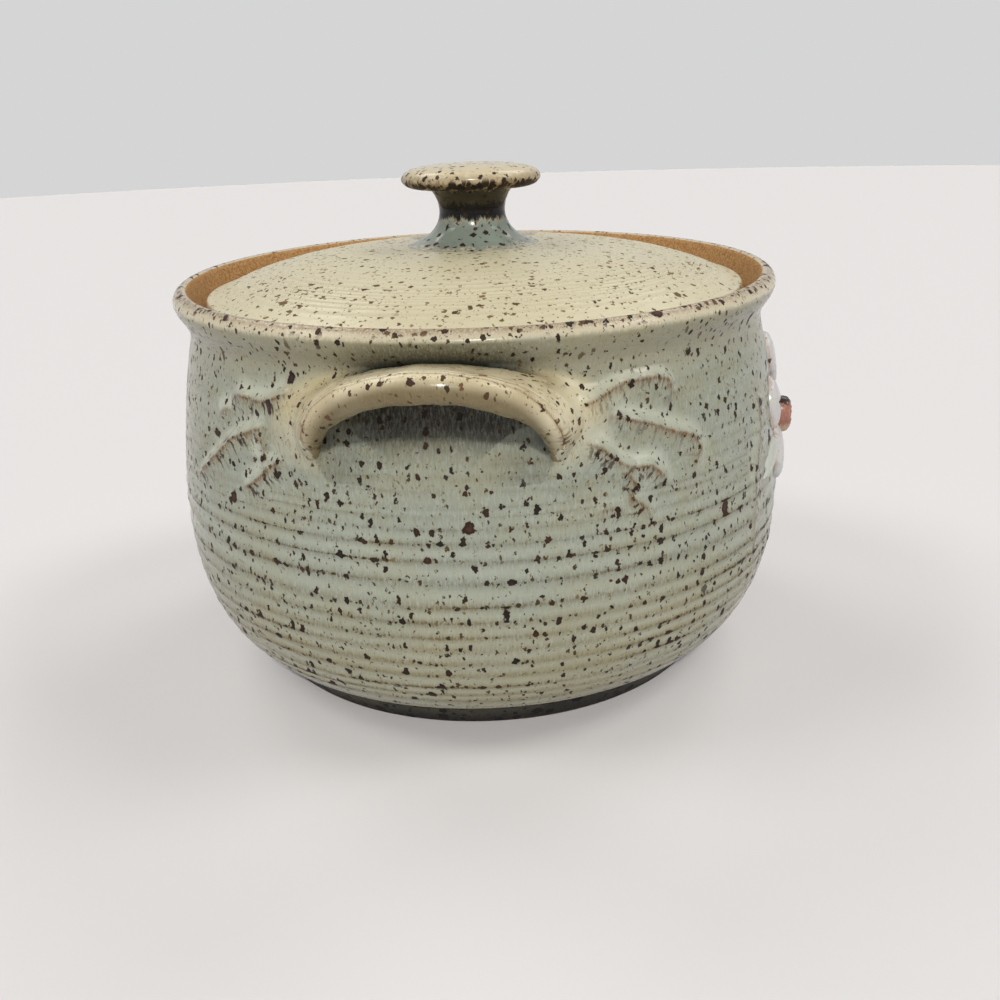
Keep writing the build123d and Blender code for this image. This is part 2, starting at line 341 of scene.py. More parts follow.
def ramp(value, low, high, start=0.0, end=1.0, smooth=True):
    node = addNode(value.id_data, "ShaderNodeMapRange", {"Value": value, "From Min": low, "From Max": high,
                                                         "To Min": start, "To Max": end})
    node.interpolation_type = "SMOOTHSTEP" if smooth else "LINEAR"
    return node.outputs[0]


def noise(where, size, tall=1.0, detail=2.0, rough=0.5):
    # size is the width of a blotch; tall stretches it up the wall
    scale = (1.0, 1.0, 1.0 / tall)
    mapped = addNode(where.id_data, "ShaderNodeMapping", {"Vector": where, "Scale": scale}).outputs[0]
    return noise3(mapped, Scale=1 / (size * mm), Detail=detail, Roughness=rough)


def specks(where, layer, boost):
    # spots of iron: only some cells of the pattern hold one, each of its own size and tint
    tree = where.id_data
    shifted = addNode(tree, "ShaderNodeMapping", {"Vector": where, "Location": layer["shift"],
                                                  "Scale": (1.0, 1.0, 1.0 / layer["tall"])}).outputs[0]
    scale = 1 / (layer["cell"] * mm)
    cells = addNode(tree, "ShaderNodeTexVoronoi", {"Vector": shifted, "Scale": scale}).outputs
    tints = addNode(tree, "ShaderNodeSeparateColor", {0: cells["Color"]}).outputs
    picked = ramp(tints["Red"], layer["share"], layer["share"] + 0.02, 1.0, 0.0)
    reach = layer["radius"] / layer["cell"]
    radius = times(ramp(tints["Green"], 0, 1, layer["least"] * reach, reach, False), boost)
    inside = minus(radius, cells["Distance"])
    mask = times(ramp(inside, 0.0, layer["edge"] / layer["cell"]), picked)
    return mask, tints["Blue"], ramp(math1("DIVIDE", inside, radius), *levels["heart"])


def between(level, low, high, fade):
    return times(ramp(level, low - fade, low + fade), ramp(level, high - fade, high + fade, 1.0, 0.0))


# where the levels of a noise start and stop to show a mark, then the mark's least and greatest strength
levels = {
    "cool": (0.35, 0.68, -0.2, 0.3), "olive": (0.50, 0.68), "oliveBands": (0.40, 0.62), "pale": (0.52, 0.34),
    "paleBands": (0.62, 0.42), "mottle": (0.36, 0.62), "cream": (0.35, 0.65), "crest": (0.35, 0.6, 0.35, 1.0),
    "broken": (0.34, 0.58, 0.5, 1.0), "stroke": (0.53, 0.61), "sheltered": (0.3, 0.6, 0.7, 1.0),
    "heart": (0.4, 0.75), "clay": (0.3, 0.7),
}


def glazeMaterial(name, look):
    material = bpy.data.materials.new(name)
    material.use_nodes = True
    tree = material.node_tree
    where = addNode(tree, "ShaderNodeTexCoord").outputs["Object"]
    height = math1("DIVIDE", addNode(tree, "ShaderNodeSeparateXYZ", {0: where}).outputs["Z"], mm)

    def attribute(label):
        node = addNode(tree, "ShaderNodeAttribute", attribute_name=label, attribute_type="GEOMETRY")
        return node.outputs["Fac"]

    # streaks and specks follow slightly shaken copies of the coordinates
    away = vector("SUBTRACT", noise(where, look["shakeSize"])["Color"], (0.5, 0.5, 0.5))
    loose = vector("ADD", where, vector("SCALE", away, scale=look["shake"] * mm))
    frayed = vector("ADD", where, vector("SCALE", away, scale=look["fray"] * mm))

    # body of the glaze: cloudy, cooler in one belt of heights, with fine hanging streaks in level bands
    cloud = noise(where, look["cloudSize"], 0.7, 3.0)["Fac"]
    low, high = look["coolBelt"]
    belt = times(ramp(height, *low), ramp(height, *high, 1.0, 0.0))
    cool = plus(times(belt, look["beltShare"]), ramp(cloud, *levels["cool"]))
    body = blend(cool, look["warm"], look["cool"])
    fur = noise(loose, look["furSize"], look["furTall"], 2.0, 0.6)["Fac"]
    bands = noise(where, look["bandSize"], look["bandTall"])["Fac"]
    olive = times(ramp(fur, *levels["olive"]), ramp(bands, *levels["oliveBands"]))
    body = blend(times(olive, look["oliveShare"]), body, look["olive"])
    pale = times(ramp(fur, *levels["pale"]), ramp(bands, *levels["paleBands"]))
    body = blend(times(pale, look["paleShare"]), body, look["pale"])

    # bands at fixed heights, such as a dark foot that is partly painted shade, or a dark neck; a pair of
    # colours is mottled
    level = plus(height, ramp(fur, 0.3, 0.7, -look["zoneStray"], look["zoneStray"], False))
    for bandLow, bandHigh, fade, tint, share in look["zones"]:
        if isinstance(tint[0], tuple):
            tint = blend(ramp(cloud, *levels["mottle"]), *tint)
        body = blend(times(between(level, bandLow, bandHigh, fade), share), body, tint)

    # cream where the handles run into the wall, and over each roll's top, where it is partly painted light
    cream = blend(ramp(cloud, *levels["cream"]), look["creamDeep"], look["cream"])
    cream = blend(times(olive, look["oliveShare"] * look["creamStreaks"]), cream, look["creamThin"])
    body = blend(attribute("warmth"), body, cream)

    # milky or pale in hollows where it lies thick, and on the steep side beside each leaf edge as a partly
    # painted highlight, brown over crests and edges where it is thin
    body = blend(times(attribute("ringValley"), look["valleyShare"]), body, look["valley"])
    crest = times(attribute("ringCrest"), ramp(fur, *levels["crest"]))
    body = blend(times(crest, look["crestShare"]), body, look["crest"])
    body = blend(times(attribute("pooling"), look["poolShare"]), body, look["pool"])
    body = blend(times(attribute("breaking"), ramp(fur, *levels["broken"])), body, look["broken"])

    # short dark strokes hang from the leaf edges
    run = math1("DIVIDE", attribute("strokeRun"), look["strokeWidth"])
    drop = math1("DIVIDE", attribute("strokeDrop"), look["strokeLength"])
    hanging = addNode(tree, "ShaderNodeCombineXYZ", {"X": run, "Y": drop}).outputs[0]
    strokes = noise3(hanging, Scale=1.0, Detail=2.0)["Fac"]
    body = blend(times(ramp(strokes, *levels["stroke"]), attribute("hatch")), body, look["stroke"])

    # painted shade where a handle shelters the wall, under its arch and just above its web; and a dark crease
    # where two pieces of clay meet, partly dark pooled glaze and partly painted shade
    crease = attribute("crease")
    body = blend(times(attribute("sheltered"), ramp(fur, *levels["sheltered"])), body, look["sheltered"])
    body = blend(crease, body, look["creaseShadeTint"])

    # iron specks, larger where the glaze is thin
    boost = plus(1.0, times(attribute("ringCrest"), look["crestBoost"]))
    boost = plus(boost, times(attribute("breaking"), look["edgeBoost"]))
    dark = None
    for layer in look["specks"]:
        mask, tint, heart = specks(frayed, layer, boost)
        if "heights" in layer:
            mask = times(mask, between(height, *layer["heights"]))
        shade = blend(tint, layer["dark"], layer["light"])
        shade = blend(times(heart, layer["heart"]), shade, look["heart"])
        body = blend(times(mask, layer["strength"]), body, shade)
        dark = mask if dark is None else math1("MAXIMUM", dark, mask)

    # unglazed clay, where the lid sits
    bare = attribute("bare")
    grain = noise(where, look["grainSize"], 1.0, 3.0, 0.7)["Fac"]
    body = blend(bare, body, blend(ramp(grain, *levels["clay"]), look["clayDark"], look["clay"]))

    # specks, bare clay, foot and creases are dry
    rough = look["roughness"]
    gloss = plus(ramp(cloud, 0.3, 0.7, rough * 0.8, rough * 1.25), times(dark, look["speckRoughness"]))
    foot = ramp(height, *look["matteBelow"], 1.0, 0.0)
    dry = math1("MAXIMUM", math1("MAXIMUM", bare, foot), crease)
    gloss = math1("ADD", gloss, times(dry, look["dryRoughness"]), clamp=True)

    # fine unevenness of the surface; specks lie a little lower
    skin = noise(where, look["skinSize"], 1.0, 3.0, 0.55)["Fac"]
    relief = minus(times(skin, look["skinDepth"]), times(dark, look["speckDepth"]))
    relief = plus(relief, times(grain, bare, look["grainDepth"]))
    bump = addNode(tree, "ShaderNodeBump", {"Height": relief, "Distance": mm, "Strength": 1.0}).outputs[0]
    shader = tree.nodes["Principled BSDF"]
    for label, socket in (("Base Color", body), ("Roughness", gloss), ("Normal", bump)):
        tree.links.new(socket, shader.inputs[label])
    shader.inputs["IOR"].default_value = look["ior"]
    return material


# a layer of specks: spacing, greatest radius, share of cells with a spot, how tall, softness of its edge,
# shift of the pattern, darkest and lightest tint, strength and share of the rusty heart; the smallest spot
# has the least share of the greatest radius
def speckLayer(cell, radius, share, tall, edge, shift, dark, light, strength, heart=0.0, **more):
    return dict(more, cell=cell, radius=radius, share=share, tall=tall, edge=edge, shift=shift, dark=dark,
                light=light, strength=strength, heart=heart, least=0.35)


pepper = speckLayer(1.25, 0.36, 0.85, 2.2, 0.14, (0.11, 0.0, 0.0), (84, 70, 30), (122, 106, 60), 0.85)
smallSpecks = speckLayer(2.2, 0.68, 1.0, 1.6, 0.18, (0.0, 0.0, 0.31), (18, 11, 3), (74, 50, 14), 0.95)
midSpecks = speckLayer(3.5, 1.1, 0.95, 1.5, 0.22, (0.0, 0.17, 0.0), (10, 6, 2), (46, 28, 8), 1.0, 0.15)
bigSpecks = speckLayer(9.0, 2.1, 0.45, 1.3, 0.3, (0.0, 0.0, 0.23), (14, 7, 2), (48, 26, 10), 1.0, 0.35)
# heights are low, high and how softly the layer starts and ends
runs = speckLayer(3.6, 1.05, 0.85, 5.5, 0.2, (0.0, 0.41, 0.0), (44, 32, 18), (92, 74, 48), 0.85,
                  heights=(125.0, 139.0, 2.5))
lipSpecks = speckLayer(2.9, 0.95, 0.8, 1.3, 0.2, (0.0, 0.29, 0.0), (30, 18, 8), (104, 72, 44), 0.95, 0.3,
                       heights=(140.4, 150.0, 1.2))
drips = speckLayer(4.6, 2.2, 0.8, 3.2, 0.5, (0.0, 0.0, 0.37), (7, 7, 6), (22, 21, 17), 0.95,
                   heights=(-5.0, 12.0, 0.6))
rimSpecks = speckLayer(2.3, 1.15, 1.0, 2.0, 0.2, (0.0, 0.13, 0.0), (14, 9, 4), (56, 38, 16), 0.98,
                       heights=(172.6, 177.2, 1.2))


def tinted(layer, dark, light, **changes):
    return dict(layer, dark=dark, light=light, **changes)


wallGlaze = {
    "warm": (149, 145, 119), "cool": (148, 155, 143), "coolBelt": ((38, 66), (118, 136)),
    "cream": (214, 206, 176), "creamDeep": (190, 178, 142), "creamThin": (150, 132, 90),
    "olive": (131, 123, 84), "oliveShare": 0.6, "pale": (170, 177, 167), "paleShare": 0.5,
    "crest": (84, 66, 32), "crestShare": 1.0, "valley": (172, 177, 163), "valleyShare": 0.55,
    # the darkest brown here is painted shade under and just above each handle; the dark crease tint is partly
    # pooled glaze and partly painted shade
    "pool": (198, 202, 187), "poolShare": 0.66, "sheltered": (33, 27, 13),
    "broken": (110, 80, 42), "stroke": (54, 36, 18), "creaseShadeTint": (22, 30, 26), "heart": (98, 58, 38),
    "shakeSize": 1.3, "shake": 0.9, "fray": 2.1, "cloudSize": 26.0, "furSize": 0.6, "furTall": 5.0,
    "bandSize": 60.0, "bandTall": 0.09, "strokeWidth": 1.5, "strokeLength": 5.0,
    "crestBoost": 1.2, "edgeBoost": 0.45, "beltShare": 0.75, "creamStreaks": 0.7,
    # low, high, softness, tint or pair of tints, share
    # the first bands darken the foot: its own dark glaze, made darker still as painted shade, then a painted
    # contact shadow that grows near-black towards the table, and a rust line along the bottom
    "zones": [(-5.0, 11.7, 0.25, ((30, 30, 24), (66, 64, 54)), 1.0), (-5.0, 5.0, 3.0, (11, 11, 9), 0.88),
              (-5.0, 0.9, 0.5, (96, 58, 30), 0.6), (12.0, 13.0, 0.3, (184, 177, 148), 0.7),
              (121.0, 137.0, 4.0, (152, 151, 134), 0.45), (139.4, 150.0, 1.4, (216, 208, 184), 0.9)],
    "zoneStray": 0.6, "matteBelow": (11.6, 12.4),
    "specks": [pepper, smallSpecks, midSpecks, bigSpecks, runs, lipSpecks, drips],
    "clay": (190, 150, 100), "clayDark": (140, 98, 56), "grainSize": 0.9, "grainDepth": 0.25,
    "speckRoughness": 0.4, "dryRoughness": 0.55,      # added to the glaze's own
    "roughness": 0.2, "skinSize": 3.0, "skinDepth": 0.10, "speckDepth": 0.08, "ior": 1.34,
}
# the handle's dark brown base shows on the roll's underside: partly its glaze and partly painted shade
handleGlaze = dict(
    wallGlaze, warm=(100, 86, 54), cool=(108, 95, 65), pale=(140, 130, 100), paleShare=0.2,
    cream=(220, 211, 181), creamDeep=(193, 179, 145), zones=[],
    specks=[pepper, tinted(smallSpecks, (50, 32, 14), (112, 86, 52)),
            tinted(midSpecks, (28, 17, 8), (96, 68, 40)),
            tinted(bigSpecks, (44, 24, 10), (104, 74, 44), share=0.35, radius=1.6)])
lidGlaze = dict(
    wallGlaze, warm=(200, 193, 165), cool=(201, 195, 170), pale=(211, 205, 182), paleShare=0.4,
    olive=(178, 167, 131), oliveShare=0.45, crest=(217, 210, 187), crestShare=0.6,
    valley=(186, 176, 145), valleyShare=0.45, zones=[], roughness=0.34, speckDepth=0.04,
    specks=[tinted(pepper, (126, 110, 68), (158, 146, 106), tall=1.0),
            tinted(smallSpecks, (82, 66, 40), (138, 120, 80), tall=1.0, share=0.75),
            tinted(midSpecks, (66, 50, 28), (122, 102, 64), tall=1.0, share=0.9),
            tinted(bigSpecks, (84, 64, 38), (122, 100, 62), tall=1.0, radius=1.7)])
knobGlaze = dict(
    lidGlaze, warm=(200, 187, 156), cool=(204, 193, 163), crest=(120, 96, 62), crestBoost=1.0,
    roughness=0.2, skinDepth=0.04, zoneStray=1.4, furSize=1.5,
    zones=[(153.0, 162.6, 1.8, ((112, 127, 122), (134, 150, 145)), 0.88),
           (163.0, 173.9, 1.0, (48, 43, 24), 0.94), (162.9, 168.0, 1.0, (4, 3, 2), 0.98),
           (173.6, 176.6, 0.9, (126, 106, 72), 0.75)],
    specks=[dict(smallSpecks, tall=1.3, share=0.95), dict(midSpecks, tall=1.2, radius=1.25), rimSpecks])
petalGlaze = dict(
    wallGlaze, warm=(196, 188, 188), cool=(194, 197, 198), pale=(210, 208, 208),
    olive=(188, 176, 172), oliveShare=0.35, broken=(180, 158, 148), zones=[],
    specks=[dict(pepper, share=0.3), dict(smallSpecks, share=0.12)])
leafGlaze = dict(
    petalGlaze, warm=(184, 187, 178), cool=(184, 190, 184), pale=(198, 203, 198), broken=(128, 106, 72))
centreGlaze = dict(
    wallGlaze, warm=(158, 114, 100), cool=(152, 106, 92), pale=(184, 146, 130), olive=(118, 78, 66),
    specks=[dict(smallSpecks, share=0.2)],
    zones=[(76.0, 83.5, 1.0, (186, 160, 130), 0.9), (91.6, 100.0, 0.7, (30, 24, 22), 0.95)])

looks = {"wall": wallGlaze, "handle": handleGlaze, "leaf": leafGlaze, "lid": lidGlaze, "knob": knobGlaze,
         "petal": petalGlaze, "centre": centreGlaze}
glazes = {label: glazeMaterial(label + "Glaze", look) for label, look in looks.items()}
print("glazes mixed:", len(glazes))


# thrown wall
wall = {
    "underside": [(0, 3), (76.4, 3), (76.4, 0), (87.4, 0), (96.6, 12.0), (98.1, 12.0)],
    "undersideRounding": (1.0, 1.2, 1.0, 0.5),
    "outside": [(98.1, 12.0), (109.4, 29), (114.7, 61), (111.6, 98.5), (107, 123), (106.3, 129.8),
                (109.4, 135.5), (110.8, 139.8)],
    "lip": [(110.8, 139.8), (109.7, 143.0), (107.4, 144.4), (104.8, 142.4)],
    "gallery": [(104.8, 142.4), (101.2, 134), (93, 134), (93, 129.5), (100.84, 118.5)],
    "galleryRounding": (1.6, 1.2, 1.4),
    "inside": [(100.84, 118.5), (107.7, 61), (102.4, 32.5), (72, 11)],
    "rows": 124, "insideRows": 34, "around": 448,
    "pocketDepth": 1.3, "pocketEdge": 2.0, "pocketSlope": 2.5,      # the sinking under each spray
    "perDegree": 1.95,                   # millimetres round the wall for one degree, roughly
    "ringsInside": 0.6,                  # the throwing rings are shallower inside
    "rimDrop": 0.4, "rimTilt": 1.6,      # the rim leans towards the near handle by this much each way
    "leanHeights": (137.5, 143),
    # the brown edge of the lip: where it runs, its width, lowest height and strength
    "edgeReach": 108.3, "edgeWidth": 1.7, "edgeAbove": 141, "edgeShare": 0.7,
    "stemFrom": (52.4, 53.6), "stemTo": (68, 74),      # azimuths where the long leaf edge comes and goes
}

outside, fineOutside = (smoothThrough(wall["outside"], count, leave=(1, 1), arrive=(0, 1))
                        for count in (wall["rows"], 900))


def wallRadius(z):
    return np.interp(z, fineOutside[:, 1], fineOutside[:, 0])


def onWall(azimuth, z, lift=0.0):
    # azimuth runs from the middle of the view, to the right; lift is along the wall's normal
    slope = wallRadius(z + 0.5) - wallRadius(z - 0.5)
    tilt = np.sqrt(1 + slope ** 2)
    r = wallRadius(z) + lift / tilt
    turn = np.radians(azimuth + rings["frontTurn"])
    return np.stack([r * np.cos(turn), r * np.sin(turn), z - lift * slope / tilt], -1)


# the sprays of leaves fill these windows of azimuth and height, on both sides of the pot
sprayWindows = {"left": ((-66.0, -17.0), (72.0, 133.5)), "right": ((1.0, 52.0), (72.0, 133.5))}


# handles
handle = {
    "halfSpan": 37.6, "endReach": 103.0, "crestReach": 130.0, "endHeight": 98.0, "crestHeight": 131.0,
    "lean": 3.5, "fullness": 0.75,
    "rootHalfSpan": 46.0, "rootReach": 97.0, "rootEndHeight": 106.0, "rootCrestHeight": 126.2,
    "radius": 4.4, "endRadius": 2.4, "taper": 0.16,      # the roll narrows over this share of its run
    # two carved lines, measured over the top from the crown inwards
    "grooveAt": -0.5, "grooveWidth": 0.62, "grooveDepth": 0.8,
    "secondAt": 3.4, "secondWidth": 0.5, "secondDepth": 0.16,
    "waves": ((0.16, 9, 0.7), (0.1, 23, 0.0)),           # size, number and start of the pulled waves
    "stations": 240,
    # turns from an end over which the groove deepens, and the marks of ends and tips fade
    "fadeTurns": (0.25, 0.55), "endTurns": (0.26, 0.6), "tipTurns": (0.05, 0.22),
    "browns": (0.85, 0.35, 0.8),                         # in the groove, on the line beside it, at the tips
    "crestAside": 1.1, "crestWidth": 0.45,               # that line
    "milk": 0.4, "strokeShare": 0.8, "strokeReach": 3.2,
    # cream grows with height over the roll, partly the glaze's colour and partly painted light on its top,
    # from a least share, and is weaker at the ends
    "creamAndLightOver": (-0.15, 0.98), "creamLeast": 0.12, "creamAtEnds": 0.4,
    "grooveAtEnds": 0.35, "creaseWidth": 0.7, "creaseShare": 0.5,
}


def archPoint(turn, halfSpan, endReach, crestReach, endHeight, crestHeight):
    rise = np.sin(turn)
    reach = endReach + (crestReach - endReach) * rise
    side = -halfSpan * np.cos(turn) + handle["lean"] * rise
    up = endHeight + (crestHeight - endHeight) * np.abs(rise) ** handle["fullness"]
    # the near handle stands out along -X
    return np.stack([-reach, -side, up], -1)


def rollPoint(turn):
    return archPoint(turn, handle["halfSpan"], handle["endReach"], handle["crestReach"], handle["endHeight"],
                     handle["crestHeight"])


def rootPoint(turn):
    return archPoint(turn, handle["rootHalfSpan"], handle["rootReach"], handle["rootReach"],
                     handle["rootEndHeight"], handle["rootCrestHeight"])


def handleFrames(count):
    turn = np.linspace(0, math.pi, count)
    roll, root = rollPoint(turn), rootPoint(turn)
    nudge = 0.02
    along = rollPoint(np.clip(turn + nudge, 0, math.pi)) - rollPoint(np.clip(turn - nudge, 0, math.pi))
    depth = np.linalg.norm(root - roll, axis=1)[:, None]
    inward = (root - roll) / depth
    up = np.cross(along, inward)
    up /= np.linalg.norm(up, axis=1)[:, None]
    if up[count // 2, 2] < 0:
        up = -up
    share = np.linspace(0, 1, count)
    narrow = smoothStep(np.minimum(share, 1 - share), 0, handle["taper"])
    radius = handle["endRadius"] + (handle["radius"] - handle["endRadius"]) * narrow
    return turn, roll, inward, up, depth[:, 0], radius


def makeHandle():
    count = handle["stations"]
    turn, roll, inward, up, depth, radius = handleFrames(count)
    # one section: along the top of the web to the carved line, round the roll, back along the underside
    over = np.concatenate([np.linspace(1, 0.32, 14), np.linspace(0.30, 0.0, 30)])[:, None]
    angles = np.linspace(math.pi / 2, 3 * math.pi / 2, 48)[:, None]
    under = np.linspace(0.03, 1, 26)[:, None]
    closing = np.linspace(-math.pi / 2, math.pi / 2, 9)[1:-1, None]
    inside = np.vstack([over * depth, radius * np.cos(angles), under * depth,
                        depth + radius * np.cos(closing)])
    raised = np.vstack([np.repeat(radius[None], len(over), 0), radius * np.sin(angles),
                        np.repeat(-radius[None], len(under), 0), radius * np.sin(closing)])
    onTop = np.zeros(len(inside), bool)
    onTop[:len(over) + 12] = True
    top = onTop[:, None]
    groove = bell(inside, handle["grooveAt"], handle["grooveWidth"]) * top
    second = bell(inside, handle["secondAt"], handle["secondWidth"]) * top
    toEnd = np.minimum(turn, math.pi - turn)
    fade = smoothStep(toEnd, *handle["fadeTurns"])[None]
    wave = sum(size * np.sin(number * turn + start) for size, number, start in handle["waves"])
    carved = handle["grooveDepth"] * groove * (handle["grooveAtEnds"] + (1 - handle["grooveAtEnds"]) * fade)
    raised = raised - carved - handle["secondDepth"] * second * fade
    raised = raised + wave * (raised / handle["radius"])
    verts = roll[None] + inside[..., None] * inward[None] + raised[..., None] * up[None]
    ring = len(inside)
    co = np.swapaxes(verts, 0, 1).reshape(-1, 3)
    faces = [tuple(range(ring)), tuple(reversed(range((count - 1) * ring, count * ring)))]
    for station in range(count - 1):
        a, b = station * ring, (station + 1) * ring
        for k in range(ring):
            n = (k + 1) % ring
            faces.append((a + n, a + k, b + k, b + n))
    piece = addMesh("handleLeft", co, faces)

    # brown where the glaze breaks, cream on top, nearer the wall's colour below and at the ends; the lighter
    # top and darker underside are partly painted light and shade
    crestLine = bell(inside, handle["grooveAt"] - handle["crestAside"], handle["crestWidth"]) * top
    ends, tips = (1 - smoothStep(toEnd, *handle[key])[None] * np.ones((ring, 1))
                  for key in ("endTurns", "tipTurns"))
    high = smoothStep(raised / handle["radius"], *handle["creamAndLightOver"]) * (1 - handle["creamAtEnds"] * ends)
    broken = sum(share * line for share, line in zip(handle["browns"], (groove, crestLine, tips)))
    marks = {"breaking": np.clip(broken, 0, 1), "pooling": handle["milk"] * second,
             "warmth": handle["creamLeast"] + (1 - handle["creamLeast"]) * high,
             "hatch": handle["strokeShare"] * ends * bell(inside, 0, handle["strokeReach"])}
    for label, values in marks.items():
        store(piece, label, values.T.ravel())
    store(piece, "strokeRun", np.repeat(runAlong(roll), ring))
    section = np.stack([inside[:, 0], raised[:, 0]], -1)
    store(piece, "strokeDrop", np.tile(runAlong(section), count))
    # a dark crease along the web where it meets the wall, partly pooled glaze and partly painted shade
    off = np.linalg.norm(co[:, :2], axis=1) - wallRadius(co[:, 2])
    crease = handle["creaseShare"] * bell(np.maximum(off, 0), 0, handle["creaseWidth"])
    store(piece, "crease", crease * np.tile(onTop, count) * np.repeat(1 - ends[0], ring))
    return piece


def faceOutwards(piece):
    volume = 0.0
    co = [v.co for v in piece.data.vertices]
    for face in piece.data.polygons:
        ids = face.vertices
        for k in range(1, len(ids) - 1):
            volume += co[ids[0]].dot(co[ids[k]].cross(co[ids[k + 1]]))
    if volume < 0:
        piece.data.flip_normals()


def halfTurned(piece, name):
    # the same piece on the other side of the pot
    twin = bpy.data.objects.new(name, piece.data.copy())
    twin.data.name = name
    bpy.context.scene.collection.objects.link(twin)
    movePoints(twin, pointsOf(twin) * [-1, -1, 1])
    return twin


handleLeft = makeHandle()
faceOutwards(handleLeft)
handleLeft.data.materials.append(glazes["handle"])
handleRight = halfTurned(handleLeft, "handleRight")
for piece, node in ((handleLeft, "handle_left"), (handleRight, "handle_right")):
    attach(piece, "pot")
    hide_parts(node)
print("handles pulled:", len(handleLeft.data.polygons), "faces each")


# leaf sprays: each is a patch of wall with its relief, running smoothly into the end of a handle
# a ridge is the crisp upper edge of a leaf along a line of (azimuth, height); its flesh lies on one side and
# falls away gently, with short strokes of brown in it
def leafEdge(height, gentle, strokes, *line, side=1, **more):
    return dict(more, height=height, gentle=gentle, strokes=strokes, line=line, side=side)


ridges = {
    "left": [
        leafEdge(1.9, 6.5, 1.0, (-31.5, 122.0), (-34.7, 119.3), (-38.3, 117.6), (-41.1, 117.7),
                 (-44.4, 117.7), (-46.6, 116.6), trough=0.3),
        leafEdge(2.4, 9.0, 0.9, (-35.5, 110.0), (-38.1, 109.3), (-40.8, 107.4), (-44.6, 104.3), (-47.9, 99.8),
                 (-52.1, 93.7), (-55.8, 88.5), (-58.9, 83.8)),
        leafEdge(0.8, 3.0, 0.2, (-39.4, 107.6), (-37.8, 104.4), (-37.6, 101.2), (-38.6, 97.4)),
        leafEdge(1.8, 7.0, 0.9, (-32.6, 101.2), (-34.1, 99.7), (-36.1, 97.2), (-38.4, 93.6), (-40.2, 91.0),
                 (-43.0, 88.6)),
        leafEdge(0.7, 2.2, 0.4, (-46.5, 112.4), (-48.4, 112.2), (-50.4, 109.6)),
    ],
    "stem": [
        leafEdge(0.9, 5.0, 1.0, (58.0, 111.0), (58.6, 99.0), (57.6, 91.0), (55.8, 84.7), (54.2, 71.3),
                 (54.2, 56.2), (56.5, 40.3), hanging=True),
    ],
    "right": [
        leafEdge(2.1, 7.0, 0.45, (14.0, 117.2), (17.0, 118.6), (19.7, 120.3), (22.7, 122.2), (26.5, 122.8),
                 (30.5, 122.3), (32.1, 120.6), (32.6, 117.4), (34.6, 117.2), side=-1, trough=0.2, glow=1.9,
                 glowWidth=1.8),
        leafEdge(2.4, 8.0, 0.35, (18.6, 114.2), (20.8, 113.3), (24.0, 111.5), (26.9, 109.8), (29.9, 107.3),
                 (32.7, 105.1), (35.1, 103.5), (37.1, 99.9), (37.3, 96.3), (36.3, 91.9), side=-1),
        leafEdge(2.3, 7.0, 0.8, (15.0, 107.2), (16.5, 106.3), (18.3, 104.7), (20.3, 101.3), (22.6, 98.3),
                 (24.4, 97.2), (26.6, 97.0), (28.8, 93.7), (30.7, 89.2), side=-1),
        leafEdge(1.1, 4.0, 1.0, (20.9, 95.4), (22.4, 96.0), (23.6, 93.6), (24.3, 91.0), (23.4, 88.6),
                 (24.6, 86.0), (26.4, 82.6), (26.9, 79.6), side=-1, milk=0.3),
        leafEdge(0.6, 2.0, 0.6, (17.2, 84.2), (18.9, 85.6), (20.9, 85.2), (22.3, 83.6), side=-1, milk=0.2),
    ],
}

# streaks of cream that run on from the web's two ends
creamWashes = {
    "left": [(-19.0, 127.6), (-25.0, 126.0), (-29.0, 123.6), (-32.0, 120.6), (-35.5, 118.4)],
    "right": [(4.0, 127.0), (8.0, 126.4), (11.0, 124.4), (13.6, 121.4), (17.0, 119.2), (23.0, 120.4)],
}

spray = {
    "meanRadius": float(wallRadius(100.0)),      # degrees of azimuth count as runs at this radius
    "step": 0.46, "border": (0.5, 3.5), "lift": 0.04, "skirt": 2.5, "backRadius": 107.5,
    # a ridge: how its height varies, how it starts and ends, its crisp top, its steep outer side, how sharply
    # it joins others, and the trough below it, which is gone where relief reaches the last number
    "uneven": (0.12, 0.9, 2), "start": (0.0, 0.16), "end": (0.82, 1.0), "fading": 0.75, "crisp": 2.0,
    "steep": 2.1, "joining": 2.5, "troughAt": 5.2, "troughWidth": 2.8, "troughShare": 0.38, "troughGone": 0.9,
    # its glaze: brown line and haze (share, place, width), a pale line beside it on the edge's steep side,
    # partly pooled glaze and partly painted highlight, and short strokes
    "brown": ((1.0, 0.25, 0.6), (0.45, 1.1, 1.3)), "glow": 2.6, "glowWidth": 2.9, "milk": 0.95,
    "strokeStarts": (0.0, 0.6), "strokeEnds": (2.6, 7.0), "strokeShift": 40,
    # how wide the wall blends into a handle: beside its ends, along its crest and under it
    "flare": 9.5, "crease": 1.2, "under": 1.8, "flareTurns": (0.25, 1.2), "greatestFlare": 9.0,
    "flareAbove": 84.0, "flareStep": 0.25, "flareTurn": (-3.0, 2.5), "calmedBy": (2.0, 6.0, 0.7),
    # cream on the blend, by its height off the wall and by its nearness to the web
    "creamShare": 0.6, "creamLift": (0.2, 4.5), "creamHeights": (96, 112),
    "webCream": (0.38, 0.57), "webHeights": (106, 120),
    "washWidth": 3.0, "washShare": 0.8, "washFade": 0.7,
}

# what a handle does to the wall's colour, by height above its web and distance off it: cream, a dark crease
# that is partly painted shade, and painted shade above the web and under the arch
nearness = {
    "reach": 70.0, "aside": 52.0, "heights": (96, 139),      # points outside this box are left out
    "creamyOff": (0.6, 6.6), "creamyTight": 4.8, "creamyAbove": (-2.5, 0.5), "creamyHeights": (97.0, 105.0),
    "creaseWidth": 1.8, "aboveWidth": 7.0, "aboveShare": 0.8, "underOff": (7.0, 23.0), "underShare": 0.97,
}


